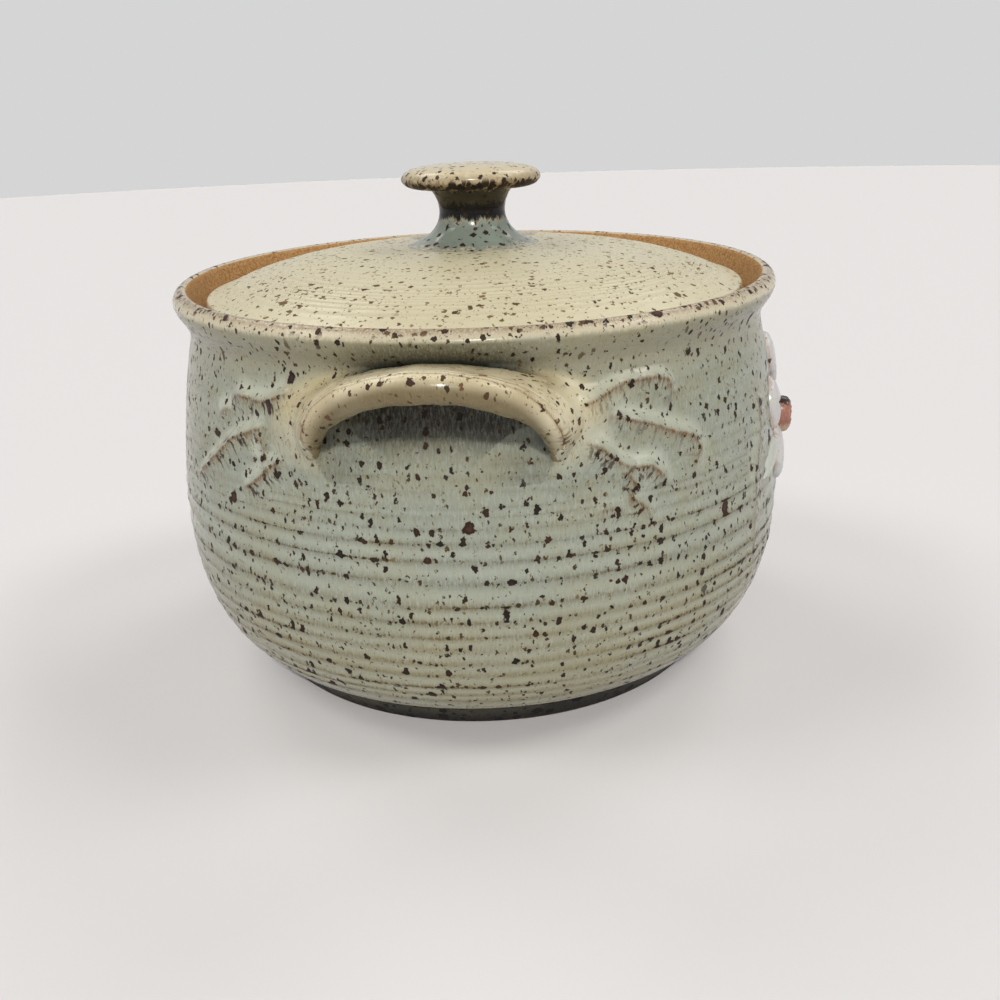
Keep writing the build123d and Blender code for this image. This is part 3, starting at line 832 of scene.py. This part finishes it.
def alongLine(line, side, u, z):
    # signed distance to the line (positive on that side), run along it and the share of its length
    curve = smoothThrough(np.array(line) * [math.radians(1) * spray["meanRadius"], 1], 90)
    run = runAlong(curve)
    near = np.full(u.shape, 1e9)
    index = np.zeros(u.shape, int)
    for k, (cu, cz) in enumerate(curve):
        gap = (u - cu) ** 2 + (z - cz) ** 2
        closer = gap < near
        near[closer], index[closer] = gap[closer], k
    tangent = np.gradient(curve, axis=0)
    tangent /= np.linalg.norm(tangent, axis=1)[:, None]
    du, dz = u - curve[index, 0], z - curve[index, 1]
    cross = tangent[index, 0] * dz - tangent[index, 1] * du
    return np.sqrt(near) * np.sign(cross) * side, run[index], run[index] / run[-1]


def pressRidges(lines, u, z):
    # relief of a set of ridges over points (u, z), and the marks that the glaze follows
    raised, sunk, breaking, pooling, hatch, run, drop = (np.zeros(u.shape) for _ in range(7))
    for number, ridge in enumerate(lines):
        d, s, share = alongLine(ridge["line"], ridge["side"], u, z)
        size, pace, apart = spray["uneven"]
        height = ridge["height"] * (1 + size * np.sin(s * pace + apart * number))
        fade = smoothStep(share, *spray["start"]) * (1 - spray["fading"] * smoothStep(share, *spray["end"]))
        beyond = np.where((share <= 0) | (share >= 1), np.exp(-np.abs(d) / spray["crisp"]), 1.0)
        inner = np.maximum(d, 0)
        flesh = 0.4 * np.exp(-inner / spray["crisp"]) + 0.6 * bell(inner, 0, ridge["gentle"])
        outer = bell(np.minimum(d, 0), 0, spray["steep"])
        trough = spray["troughShare"] * bell(d, -spray["troughAt"], spray["troughWidth"])
        shown = fade * beyond
        raised += (height * shown * np.where(d > 0, flesh, outer)) ** spray["joining"]
        sunk += height * shown * trough * ridge.get("trough", 1.0)
        wobble = 0.75 + 0.25 * np.sin(s * 1.7 + number) * np.sin(s * 0.53)
        edge = sum(strength * bell(d, at, width) for strength, at, width in spray["brown"]) * wobble
        breaking = np.maximum(breaking, np.minimum(edge, 1) * shown * min(1.0, ridge["height"]))
        # a pale line on the edge's steep side: partly pooled glaze, partly a painted highlight where the
        # slope faces the light
        glow = bell(d, -ridge.get("glow", spray["glow"]), ridge.get("glowWidth", spray["glowWidth"]))
        pooling = np.maximum(pooling, spray["milk"] * glow * shown * ridge.get("milk", 1.0))
        within = smoothStep(d, *spray["strokeStarts"]) * (1 - smoothStep(d, *spray["strokeEnds"]))
        strokes = within * shown * ridge["strokes"]
        # on a standing ridge the strokes hang along it instead of across
        along, across = (d, s) if ridge.get("hanging") else (s, d)
        run = np.where(strokes > hatch, along + spray["strokeShift"] * number, run)
        drop = np.where(strokes > hatch, across, drop)
        hatch = np.maximum(hatch, strokes)
    raised = raised ** (1 / spray["joining"])
    relief = raised - sunk * np.exp(-raised / spray["troughGone"])
    return relief, {"breaking": breaking, "pooling": pooling, "hatch": hatch, "strokeRun": run,
                    "strokeDrop": drop}


def handleSurface():
    # points over the roll and web; how far the clay stands off each, how near an end it is, its upward side
    turn, roll, inward, up, depth, radius = handleFrames(260)
    share = np.linspace(0, 1, 40)
    co = roll[:, None] + inward[:, None] * (share[None] * depth[:, None])[..., None]
    ends = 1 - smoothStep(np.minimum(turn, math.pi - turn), *spray["flareTurns"])
    return co.reshape(-1, 3), *(np.repeat(values, len(share), 0) for values in (radius, ends, up))


handlePoints, handleStand, handleEnds, handleUp = handleSurface()
handleTree = KDTree(len(handlePoints))
for k, point in enumerate(handlePoints):
    handleTree.insert(point, k)
handleTree.balance()


def toHandle(point):
    _, k, gap = handleTree.find(point)
    return gap - handleStand[k]


def blendWidth(point):
    # wide above and beside the handle's ends, tight along its crest and under the arch
    near, k, _ = handleTree.find(point)
    above = float(np.dot(point - np.array(near), handleUp[k]))
    wide = spray["crease"] + (spray["flare"] - spray["crease"]) * handleEnds[k]
    return spray["under"] + (wide - spray["under"]) * float(smoothStep(above, *spray["flareTurn"]))


def flareLift(azimuth, z):
    # how far the wall must swell to run into the handle: a smooth union of the two shapes
    start = onWall(azimuth, z)
    soft = blendWidth(start)
    if toHandle(start) > soft:
        return 0.0
    lift = 0.0
    while lift < spray["greatestFlare"]:
        near = toHandle(onWall(azimuth, z, lift))
        overlap = max(soft - abs(lift - near), 0.0) / soft
        if min(lift, near) - overlap * overlap * soft / 4 > 0:
            break
        lift += spray["flareStep"]
    # half a step back, near enough
    return max(lift - 0.12, 0.0)


def nearHandles(co):
    # for points of the wall: how near each lies above a handle's web, and how much painted shade it takes
    # just above that web and under the arch
    crease, sheltered, creamy = (np.zeros(len(co)) for _ in range(3))
    flipped = co * np.where(co[:, :1] > 0, [[-1, -1, 1]], [[1, 1, 1]])
    low, high = nearness["heights"]
    beside = (flipped[:, 0] < -nearness["reach"]) & (np.abs(flipped[:, 1]) < nearness["aside"])
    for k in np.nonzero(beside & (co[:, 2] > low) & (co[:, 2] < high))[0]:
        near, index, gap = handleTree.find(flipped[k])
        above = float(np.dot(flipped[k] - np.array(near), handleUp[index]))
        off = max(gap - handleStand[index], 0.0)
        middle = 1 - handleEnds[index]
        start, end = nearness["creamyOff"]
        creamy[k] = 1 - smoothStep(off, start, end - nearness["creamyTight"] * middle)
        creamy[k] *= smoothStep(above, *nearness["creamyAbove"])
        creamy[k] *= smoothStep(co[k, 2], *nearness["creamyHeights"])
        # above the web: a dark crease, partly pooled glaze and partly painted shade, and painted shade on the
        # neck
        if above > 0:
            crease[k] = bell(off, 0, nearness["creaseWidth"]) * middle ** 4
            sheltered[k] = nearness["aboveShare"] * bell(off, 0, nearness["aboveWidth"]) * middle ** 5
        else:
            # under the arch: painted shade, fading away from the handle
            away = smoothStep(off, *nearness["underOff"])
            sheltered[k] = nearness["underShare"] * (1 - away) * (0.3 + 0.7 * middle)      # less at the ends
    return crease, sheltered, creamy


def insideWindow(azimuth, z, window, perDegree):
    # distance in from the window's border, in millimetres
    (left, right), (low, high) = window
    return np.minimum(np.minimum(azimuth - left, right - azimuth) * perDegree, np.minimum(z - low, high - z))


def makeSpray(name, side):
    (left, right), (low, high) = sprayWindows[side]
    perDegree = math.radians(1) * spray["meanRadius"]
    across = int((right - left) * perDegree / spray["step"]) + 1
    upward = int((high - low) / spray["step"]) + 1
    azimuth, z = np.meshgrid(np.linspace(left, right, across), np.linspace(low, high, upward))
    u = azimuth * perDegree
    calm = smoothStep(insideWindow(azimuth, z, sprayWindows[side], perDegree), *spray["border"])

    relief, marks = pressRidges(ridges[side], u, z)
    flare = np.zeros(u.shape)
    for i, j in zip(*np.nonzero(z > spray["flareAbove"])):
        flare[i, j] = flareLift(azimuth[i, j], z[i, j])
    for _ in range(2):
        flare[1:-1, 1:-1] = (flare[1:-1, 1:-1] * 4 + flare[:-2, 1:-1] + flare[2:, 1:-1] + flare[1:-1, :-2]
                             + flare[1:-1, 2:]) / 8
    flareLow, flareHigh, calmed = spray["calmedBy"]
    lift = spray["lift"] + calm * (relief * (1 - calmed * smoothStep(flare, flareLow, flareHigh)) + flare)

    # the sheet, its skirt down into the wall, and a closing point behind it
    sheet = onWall(azimuth, z, lift).reshape(-1, 3)
    grid = np.arange(across * upward).reshape(upward, across)
    border = np.concatenate([grid[0, :-1], grid[:-1, -1], grid[-1, :0:-1], grid[:0:-1, 0]])
    skirt = onWall(azimuth, z, -spray["skirt"] + 0 * z).reshape(-1, 3)[border]
    back = math.radians((left + right) / 2 + rings["frontTurn"])
    centre = [spray["backRadius"] * math.cos(back), spray["backRadius"] * math.sin(back), (low + high) / 2]
    verts = np.vstack([sheet, skirt, [centre]])
    faces = [(grid[i, j], grid[i, j + 1], grid[i + 1, j + 1], grid[i + 1, j])
             for i in range(upward - 1) for j in range(across - 1)]
    first, count = len(sheet), len(border)
    for k in range(count):
        n = (k + 1) % count
        faces.append((border[n], border[k], first + k, first + n))
        faces.append((first + n, first + k, len(verts) - 1))
    piece = addMesh(name, verts, [tuple(int(i) for i in face) for face in faces])

    # what the glaze follows, for the sheet; the hidden points behind it carry nothing
    # cream, a crease that is partly painted shade, and painted shade near the handles
    crease, sheltered, creamy = nearHandles(sheet)
    away, _, share = alongLine(creamWashes[side], 1, u, z)
    wash = spray["washShare"] * bell(away, 0, spray["washWidth"]) * (1 - spray["washFade"] * share ** 2)
    onFlare = spray["creamShare"] * smoothStep(flare, *spray["creamLift"])
    onFlare *= smoothStep(z, *spray["creamHeights"])
    least, more = spray["webCream"]
    onWeb = (least + more * smoothStep(z, *spray["webHeights"])) * creamy.reshape(z.shape)
    for label in ("breaking", "pooling", "hatch"):
        marks[label] *= calm
    marks.update(turned=1 - 0.75 * calm * smoothStep(np.abs(relief) + flare, 0.1, 0.8), crease=crease,
                 sheltered=sheltered, warmth=np.maximum(np.maximum(onFlare, onWeb), wash) * calm)
    for label, values in marks.items():
        store(piece, label, np.concatenate([values.ravel(), np.zeros(count + 1)]))
    piece.data.set_sharp_from_angle(angle=math.radians(60))
    return piece


ringTree = turningTree("throwingRings", rings, False)
sprayLeft = ringed(makeSpray("sprayLeft", "left"), ringTree, rings, "wall")
sprayRight = ringed(makeSpray("sprayRight", "right"), ringTree, rings, "wall")
farRight = halfTurned(sprayLeft, "sprayFarRight")
farLeft = halfTurned(sprayRight, "sprayFarLeft")
for piece, node in ((sprayLeft, "leaf_left_back"), (sprayRight, "leaf_left_front"),
                    (farRight, "leaf_right_front"), (farLeft, "leaf_right_back")):
    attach(piece, "pot")
    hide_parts(node)
print("leaf sprays:", len(sprayLeft.data.polygons), "and", len(sprayRight.data.polygons), "faces")


# wall
def makeWall():
    parts = [softened(wall["underside"], wall["undersideRounding"], 3), outside[1:],
             smoothThrough(wall["lip"], 18, leave=(0.1, 1), arrive=(-0.4, -1))[1:],
             softened(wall["gallery"], wall["galleryRounding"], 3)[1:],
             smoothThrough(wall["inside"], wall["insideRows"], leave=(0.19, -1), arrive=(-1, 0))[1:],
             [(36.0, 11.0), (0.0, 11.0)]]
    outline = np.vstack(parts)
    piece = lathe("potWall", outline, wall["around"])
    rows = np.cumsum([len(p) for p in parts])
    co = pointsOf(piece)
    row = latheRows(outline, wall["around"])
    onOutside = (row >= rows[0] + 2) & (row < rows[1])
    onInside = (row >= rows[3] + 2) & (row < rows[4] - 6)
    store(piece, "turned", onOutside * 1.0 + onInside * wall["ringsInside"])

    # clay is bare from the lip's inner edge to the ledge
    bareFrom, bareTo = rows[2] - 4, rows[3]
    store(piece, "bare", ((row >= bareFrom) & (row < bareTo)) * 1.0)
    reach = np.linalg.norm(co[:, :2], axis=1)
    lipEdge = wall["edgeShare"] * bell(reach, wall["edgeReach"], wall["edgeWidth"])
    lipEdge *= co[:, 2] > wall["edgeAbove"]

    # the wall is sunk a little under each spray, which is a piece of its own
    azimuth = np.degrees(np.arctan2(co[:, 1], co[:, 0])) - rings["frontTurn"]
    edge = wall["pocketEdge"]
    sunk = np.zeros(len(co))
    for window in sprayWindows.values():
        for half in (0, 180):
            inward = insideWindow((azimuth - half + 180) % 360 - 180, co[:, 2], window, wall["perDegree"])
            sunk = np.maximum(sunk, smoothStep(inward, edge, edge + wall["pocketSlope"]) * onOutside)

    # a long leaf edge hangs beside the blossom
    beside = (azimuth + 180) % 360 - 180
    relief, marks = pressRidges(ridges["stem"], np.radians(beside) * spray["meanRadius"], co[:, 2])
    shown = onOutside * smoothStep(beside, *wall["stemFrom"]) * (1 - smoothStep(beside, *wall["stemTo"]))
    for label, share in (("breaking", 1.0), ("pooling", 0.35), ("hatch", 1.0)):
        marks[label] *= shown * share
    scale = 1 + (relief * shown - wall["pocketDepth"] * sunk) / np.maximum(reach, 1)
    co[:, :2] *= scale[:, None]
    lean = wall["rimDrop"] + wall["rimTilt"] * np.cos(np.radians(azimuth))
    co[:, 2] -= lean * smoothStep(co[:, 2], *wall["leanHeights"])
    # a crease that is partly painted shade, and painted shade near the handles
    crease, sheltered, _ = nearHandles(co)
    movePoints(piece, co)
    marks.update(breaking=np.maximum(marks["breaking"], lipEdge), crease=crease * onOutside,
                 sheltered=sheltered * onOutside)
    for label, values in marks.items():
        store(piece, label, values)
    piece.data.set_sharp_from_angle(angle=math.radians(50))
    return piece


potWall = ringed(makeWall(), ringTree, rings, "wall")
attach(potWall, "pot")
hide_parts("pot_body")
print("wall thrown:", len(potWall.data.polygons), "faces")


# blossom: petals and leaves are laid out flat, copied round and pressed onto the wall
blossom = {
    "turn": -90.0, "height": 90.0,
    "petals": 5, "firstPetal": 90.0, "leaves": 3, "firstLeaf": 198.0, "leafStep": 72.0,
    "stations": 60, "around": 52, "sunk": 2.2,
    "centre": [(6.0, -3.0), (6.0, 3.6), (5.2, 6.6), (3.0, 7.5), (0.0, 6.9)],
    "centreBelow": 3.4, "centreTall": 1.18, "centreBumps": 0.22,      # it sits low and is taller than wide
}
# from, to and thickness, then half widths along the blade
petalBlade = (7.2, 28.9, 4.6, [(0, 1.2), (0.1, 3.0), (0.3, 6.2), (0.55, 9.6), (0.72, 10.4), (0.88, 8.2),
                               (0.96, 5.0), (1, 2.4)])
leafBlade = (21.6, 48.0, 2.5, [(0, 1.6), (0.15, 3.6), (0.4, 5.3), (0.65, 4.6), (0.85, 2.5), (1, 0.4)])


def makeBlade(name, start, end, thickness, widths, surface):
    # a closed blade along +X: its half width follows a curve, its top a rule of (along, across)
    stations, ring = blossom["stations"], blossom["around"]
    along = (1 - np.cos(np.linspace(0.02, 1, stations) * math.pi * 0.985)) / 2
    x = start + (end - start) * along
    table = smoothThrough(widths, 200)
    half = np.interp(along, table[:, 0], table[:, 1])
    turn = np.linspace(0, 2 * math.pi, ring, endpoint=False)
    across, over = np.cos(turn), np.sin(turn)
    rim = np.sign(over) * np.abs(over) ** 0.8
    y = half[:, None] * across
    tip = np.sqrt(np.clip(1 - np.abs(2 * along - 1) ** 5, 0.02, 1))[:, None]
    height = surface(along[:, None], across[None]) * thickness * tip
    low = -blossom["sunk"]
    z = np.where(rim > 0, low + (height - low) * np.minimum(1, rim), low)
    verts = np.stack([np.repeat(x[:, None], ring, 1), y, z], -1).reshape(-1, 3)
    verts = np.vstack([verts, [x[0], 0, low], [x[-1], 0, low]])
    piece = addMesh(name, verts, tubeFaces(stations, ring, flipped=True))
    side = np.abs(across)[None] * np.ones((stations, 1))
    edge = bell(side, 0.93, 0.06) * (over > 0)
    hollow = bell(across[None], 0, 0.14) * (over > 0) * np.ones((stations, 1))
    for label, values in (("breaking", 0.75 * edge), ("pooling", 0.8 * hollow)):
        store(piece, label, np.append(values.ravel(), [0, 0]))
    return piece


def copiesTree(name):
    tree, given = newGroup(name, [("Count", "Int"), ("Start", "Float"), ("Step", "Float")])
    spots = addNode(tree, "GeometryNodePoints", {"Count": given["Count"]}).outputs[0]
    index = tree.nodes.new("GeometryNodeInputIndex").outputs[0]
    # copies differ a little in size, as if each were pinched by hand
    drawn = {2: 0.95, 3: 1.0, "ID": index, "Seed": 4}
    size = addNode(tree, "FunctionNodeRandomValue", drawn, data_type="FLOAT").outputs[1]
    scale = addNode(tree, "ShaderNodeCombineXYZ", {0: size, 1: size, 2: 1.0}).outputs[0]
    turned = plus(times(index, given["Step"]), given["Start"])
    facing = addNode(tree, "ShaderNodeCombineXYZ", {2: turned}).outputs[0]
    copies = addNode(tree, "GeometryNodeInstanceOnPoints", {"Points": spots, "Instance": given["Geometry"],
                                                            "Rotation": facing, "Scale": scale})
    return closeGroup(tree, given, copies.outputs[0])


def pressOnWall(piece):
    # flat x and y become the run round the wall and the height; flat z stands off it
    flat = pointsOf(piece)
    azimuth = blossom["turn"] - rings["frontTurn"] + np.degrees(flat[:, 0] / wallRadius(blossom["height"]))
    movePoints(piece, onWall(azimuth, blossom["height"] + flat[:, 1], flat[:, 2]))
    piece.data.set_sharp_from_angle(angle=math.radians(60))
    faceOutwards(piece)


def petalTop(along, across):
    # cupped, with a crease up the middle and a few soft folds, as shares of its thickness
    crease = 0.34 * bell(across, 0, 0.13) * (1 - 0.6 * along)
    folds = 0.05 * np.sin(7 * across + 2) * along
    return 0.66 + 0.26 * across ** 2 * along + 0.10 * np.sin(math.pi * along) - crease + folds


def leafTop(along, across):
    # a vein up the middle, with finer ones to the sides
    vein = 0.34 * bell(across, 0, 0.10)
    ribs = 0.10 * np.sin(34 * along - 5 * np.abs(across)) * np.abs(across)
    return (0.85 - vein + ribs) * (1 - 0.35 * along)


copier = copiesTree("copiesRound")
petals = applyGroup(makeBlade("blossomPetals", *petalBlade, petalTop), copier, {
    "Count": blossom["petals"], "Start": math.radians(blossom["firstPetal"]),
    "Step": 2 * math.pi / blossom["petals"], "Material": glazes["petal"]})
leaves = applyGroup(makeBlade("blossomLeaves", *leafBlade, leafTop), copier, {
    "Count": blossom["leaves"], "Start": math.radians(blossom["firstLeaf"]),
    "Step": math.radians(blossom["leafStep"]), "Material": glazes["leaf"]})
pressOnWall(petals)
pressOnWall(leaves)


def makeCentre():
    # a soft knob of clay with a dimple, turned about the line that points out of the wall
    profile = smoothThrough(blossom["centre"], 40, leave=(0, 1), arrive=(-1, 0))
    piece = lathe("blossomCentre", np.vstack([[(0, blossom["centre"][0][1])], profile]), 72)
    base = Vector(onWall(blossom["turn"] - rings["frontTurn"], blossom["height"]))
    co = pointsOf(piece)
    # flat z points out of the wall, which here faces -Y
    out = np.stack([co[:, 0], base[1] - co[:, 2],
                    base[2] - blossom["centreBelow"] + blossom["centreTall"] * co[:, 1]], -1)
    bumps = blossom["centreBumps"] * np.sin(out[:, 0] * 2.1) * np.sin(out[:, 2] * 1.9)
    out[:, 1] -= bumps * (co[:, 2] > 3)
    movePoints(piece, out)
    faceOutwards(piece)
    piece.data.materials.append(glazes["centre"])
    return piece


centre = makeCentre()
for piece, node, slot in ((petals, "blossom_petals", "petal_glaze"), (leaves, "blossom_leaves", "wall_glaze"),
                          (centre, "blossom_centre", "blossom_centre_glaze")):
    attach(piece, "pot")
    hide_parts(node)
print("blossom:", len(petals.data.polygons) + len(leaves.data.polygons) + len(centre.data.polygons), "faces")


# lid and knob
lid = {
    "under": [(0, 146), (45, 144.9), (86.7, 134)],
    "flange": [(86.7, 134), (86.7, 128), (91.2, 128), (91.2, 134), (99.4, 134), (99.4, 139.2), (97.0, 139.2)],
    "flangeRounding": (0.8, 0.8, 0.5, 1.2, 2.3),
    "dome": [(97.0, 139.2), (85, 144.2), (45, 151.9), (24, 153)],
    "rows": 150, "around": 448,
    "edgeShare": 0.5, "edgeRows": 2.0,      # the thin glaze round the edge
}

knob = {
    "stem": [(24.6, 153.05), (17.6, 156.0), (13.4, 160.4), (12.2, 165), (13.1, 169.6), (15.6, 173.1)],
    "disc": [(15.6, 173.1), (20.6, 173.3), (24.4, 174.7), (25.6, 176.7), (24.6, 178.7), (20.6, 180.5),
             (11, 181.7), (0, 182)],
    "around": 192,
    "rim": (177.6, 1.2, 0.35), "underRim": (174.6, 1.3),      # height, width and strength of the thin glaze
}


def makeLid():
    under = smoothThrough(lid["under"], 26, leave=(1, 0), arrive=(1, -0.6))
    flange = softened(lid["flange"], lid["flangeRounding"], 4)
    # the dome leaves the rounded edge as it arrives
    dome = smoothThrough(lid["dome"], lid["rows"], leave=(-1, 0.5), arrive=(-1, 0))
    outline = np.vstack([under, flange[1:], dome[1:], [(23.0, 153.0), (0.0, 153.0)]])
    piece = lathe("lidDome", outline, lid["around"])
    row = latheRows(outline, lid["around"])
    start = len(under) + len(flange) - 1
    store(piece, "turned", (row >= start - 4) * 1.0)
    store(piece, "breaking", lid["edgeShare"] * bell(row, start - 5, lid["edgeRows"]))
    piece.data.set_sharp_from_angle(angle=math.radians(50))
    return piece


def makeKnob():
    stem = smoothThrough(knob["stem"], 60, leave=(-1, 0.25), arrive=(1, 0.7))
    disc = smoothThrough(knob["disc"], 70, leave=(1, 0), arrive=(-1, 0))
    outline = np.vstack([[(0, 153.02), (24.0, 153.02)], stem, disc[1:]])
    piece = lathe("knobTurned", outline, knob["around"])
    height = pointsOf(piece)[:, 2]
    middle, width, share = knob["rim"]
    store(piece, "breaking", share * bell(height, middle, width))
    store(piece, "ringCrest", bell(height, *knob["underRim"]))
    piece.data.set_sharp_from_angle(angle=math.radians(60))
    piece.data.materials.append(glazes["knob"])
    return piece


grooveTree = turningTree("trimmingGrooves", lidRings, True)
lidDome = ringed(makeLid(), grooveTree, lidRings, "lid")
knobTurned = makeKnob()
for piece, node in ((lidDome, "lid"), (knobTurned, "knob")):
    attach(piece, "cover")
    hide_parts(node)
print("lid turned:", len(lidDome.data.polygons), "faces; knob:", len(knobTurned.data.polygons))


# table, light and camera
setting = {
    "table": (226, 225, 229), "tableRadius": 3000, "tableTop": -0.2, "tableRoughness": 0.9,
    "backdrop": (213, 213, 214), "ambientTint": (236, 238, 242), "ambient": 0.1,
    "cameraTurn": 188.0, "cameraReach": 0.4024, "cameraHeight": 0.2013,
    "pitch": 20.67, "heading": -82.95, "roll": -1.95, "lens": 37.71,
    # turn, height, strength and spread of each sun, all at one reach
    "suns": [(188, 1.5, 2.02, 4.0), (103, 2.5, 0.6, 20.0), (273, 2.5, 0.66, 20.0), (328, 2.2, 0.5, 24.0),
             (48, 2.2, 0.5, 24.0)],
    "sunReach": 2.0, "sunTint": (255, 251, 244),
    # one narrow window that the glaze mirrors: turn, reach, height, then width and height, power
    "window": (190, 1.9, 1.5), "windowSize": (1.3, 0.22), "windowPower": 3.6, "windowTint": (255, 252, 247),
}


def plainMaterial(name, rgb, roughness):
    material = bpy.data.materials.new(name)
    material.use_nodes = True
    shader = material.node_tree.nodes["Principled BSDF"]
    shader.inputs["Base Color"].default_value = colour(rgb)
    shader.inputs["Roughness"].default_value = roughness
    return material


corners = 96
turns = np.arange(corners) * 2 * math.pi / corners
reach = setting["tableRadius"]
tableTop = addMesh("tableTop", np.stack([reach * np.cos(turns), reach * np.sin(turns),
                                         np.full(corners, setting["tableTop"])], -1), [tuple(range(corners))])
tableTop.data.materials.append(plainMaterial("tableCloth", setting["table"], setting["tableRoughness"]))


def hang(name, light, spot, aim, tint):
    light.color = colour(tint)[:3]
    lamp = bpy.data.objects.new(name, light)
    lamp.location = spot
    lamp.rotation_euler = (Vector(aim) - Vector(spot)).to_track_quat("-Z", "Y").to_euler()
    bpy.context.scene.collection.objects.link(lamp)


def around(turn, reach, height):
    return (reach * math.cos(math.radians(turn)), reach * math.sin(math.radians(turn)), height)


for number, (turn, height, strength, spread) in enumerate(setting["suns"]):
    sun = bpy.data.lights.new("roomLight%d" % number, "SUN")
    sun.energy = strength
    sun.angle = math.radians(spread)
    hang(sun.name, sun, around(turn, setting["sunReach"], height), (0, 0, 0), setting["sunTint"])
window = bpy.data.lights.new("windowStrip", "AREA")
window.shape = "RECTANGLE"
window.size, window.size_y = setting["windowSize"]
window.energy = setting["windowPower"]
hang(window.name, window, around(*setting["window"]), (0, 0, 0.1), setting["windowTint"])

# the backdrop is what the camera and mirrored rays see; it lights the scene only by its weak ambient part
world = bpy.data.worlds.new("studio")
bpy.context.scene.world = world
world.use_nodes = True
tree = world.node_tree
tree.nodes.clear()
rays = addNode(tree, "ShaderNodeLightPath").outputs
mirrored = plus(rays["Is Glossy Ray"], rays["Is Transmission Ray"])
seen = math1("ADD", rays["Is Camera Ray"], mirrored, clamp=True)
ambient = addNode(tree, "ShaderNodeBackground", {"Color": colour(setting["ambientTint"]),
                                                 "Strength": setting["ambient"]})
backdrop = addNode(tree, "ShaderNodeBackground", {"Color": colour(setting["backdrop"]), "Strength": 1.0})
chosen = addNode(tree, "ShaderNodeMixShader", {0: seen, 1: ambient.outputs[0], 2: backdrop.outputs[0]})
addNode(tree, "ShaderNodeOutputWorld", {"Surface": chosen.outputs[0]})

camera = bpy.data.objects.new("camera", bpy.data.cameras.new("camera"))
camera.data.lens = setting["lens"]
camera.data.sensor_width = 36.0
camera.data.clip_start = 0.01
camera.location = around(setting["cameraTurn"], setting["cameraReach"], setting["cameraHeight"])
aim = Euler((0, 0, math.radians(setting["heading"]))).to_matrix()
aim = aim @ Euler((math.radians(90 - setting["pitch"]), 0, 0)).to_matrix()
aim = aim @ Euler((0, 0, math.radians(setting["roll"]))).to_matrix()
camera.rotation_euler = aim.to_euler()
bpy.context.scene.collection.objects.link(camera)
bpy.context.scene.camera = camera
bpy.context.scene.view_settings.view_transform = "Standard"
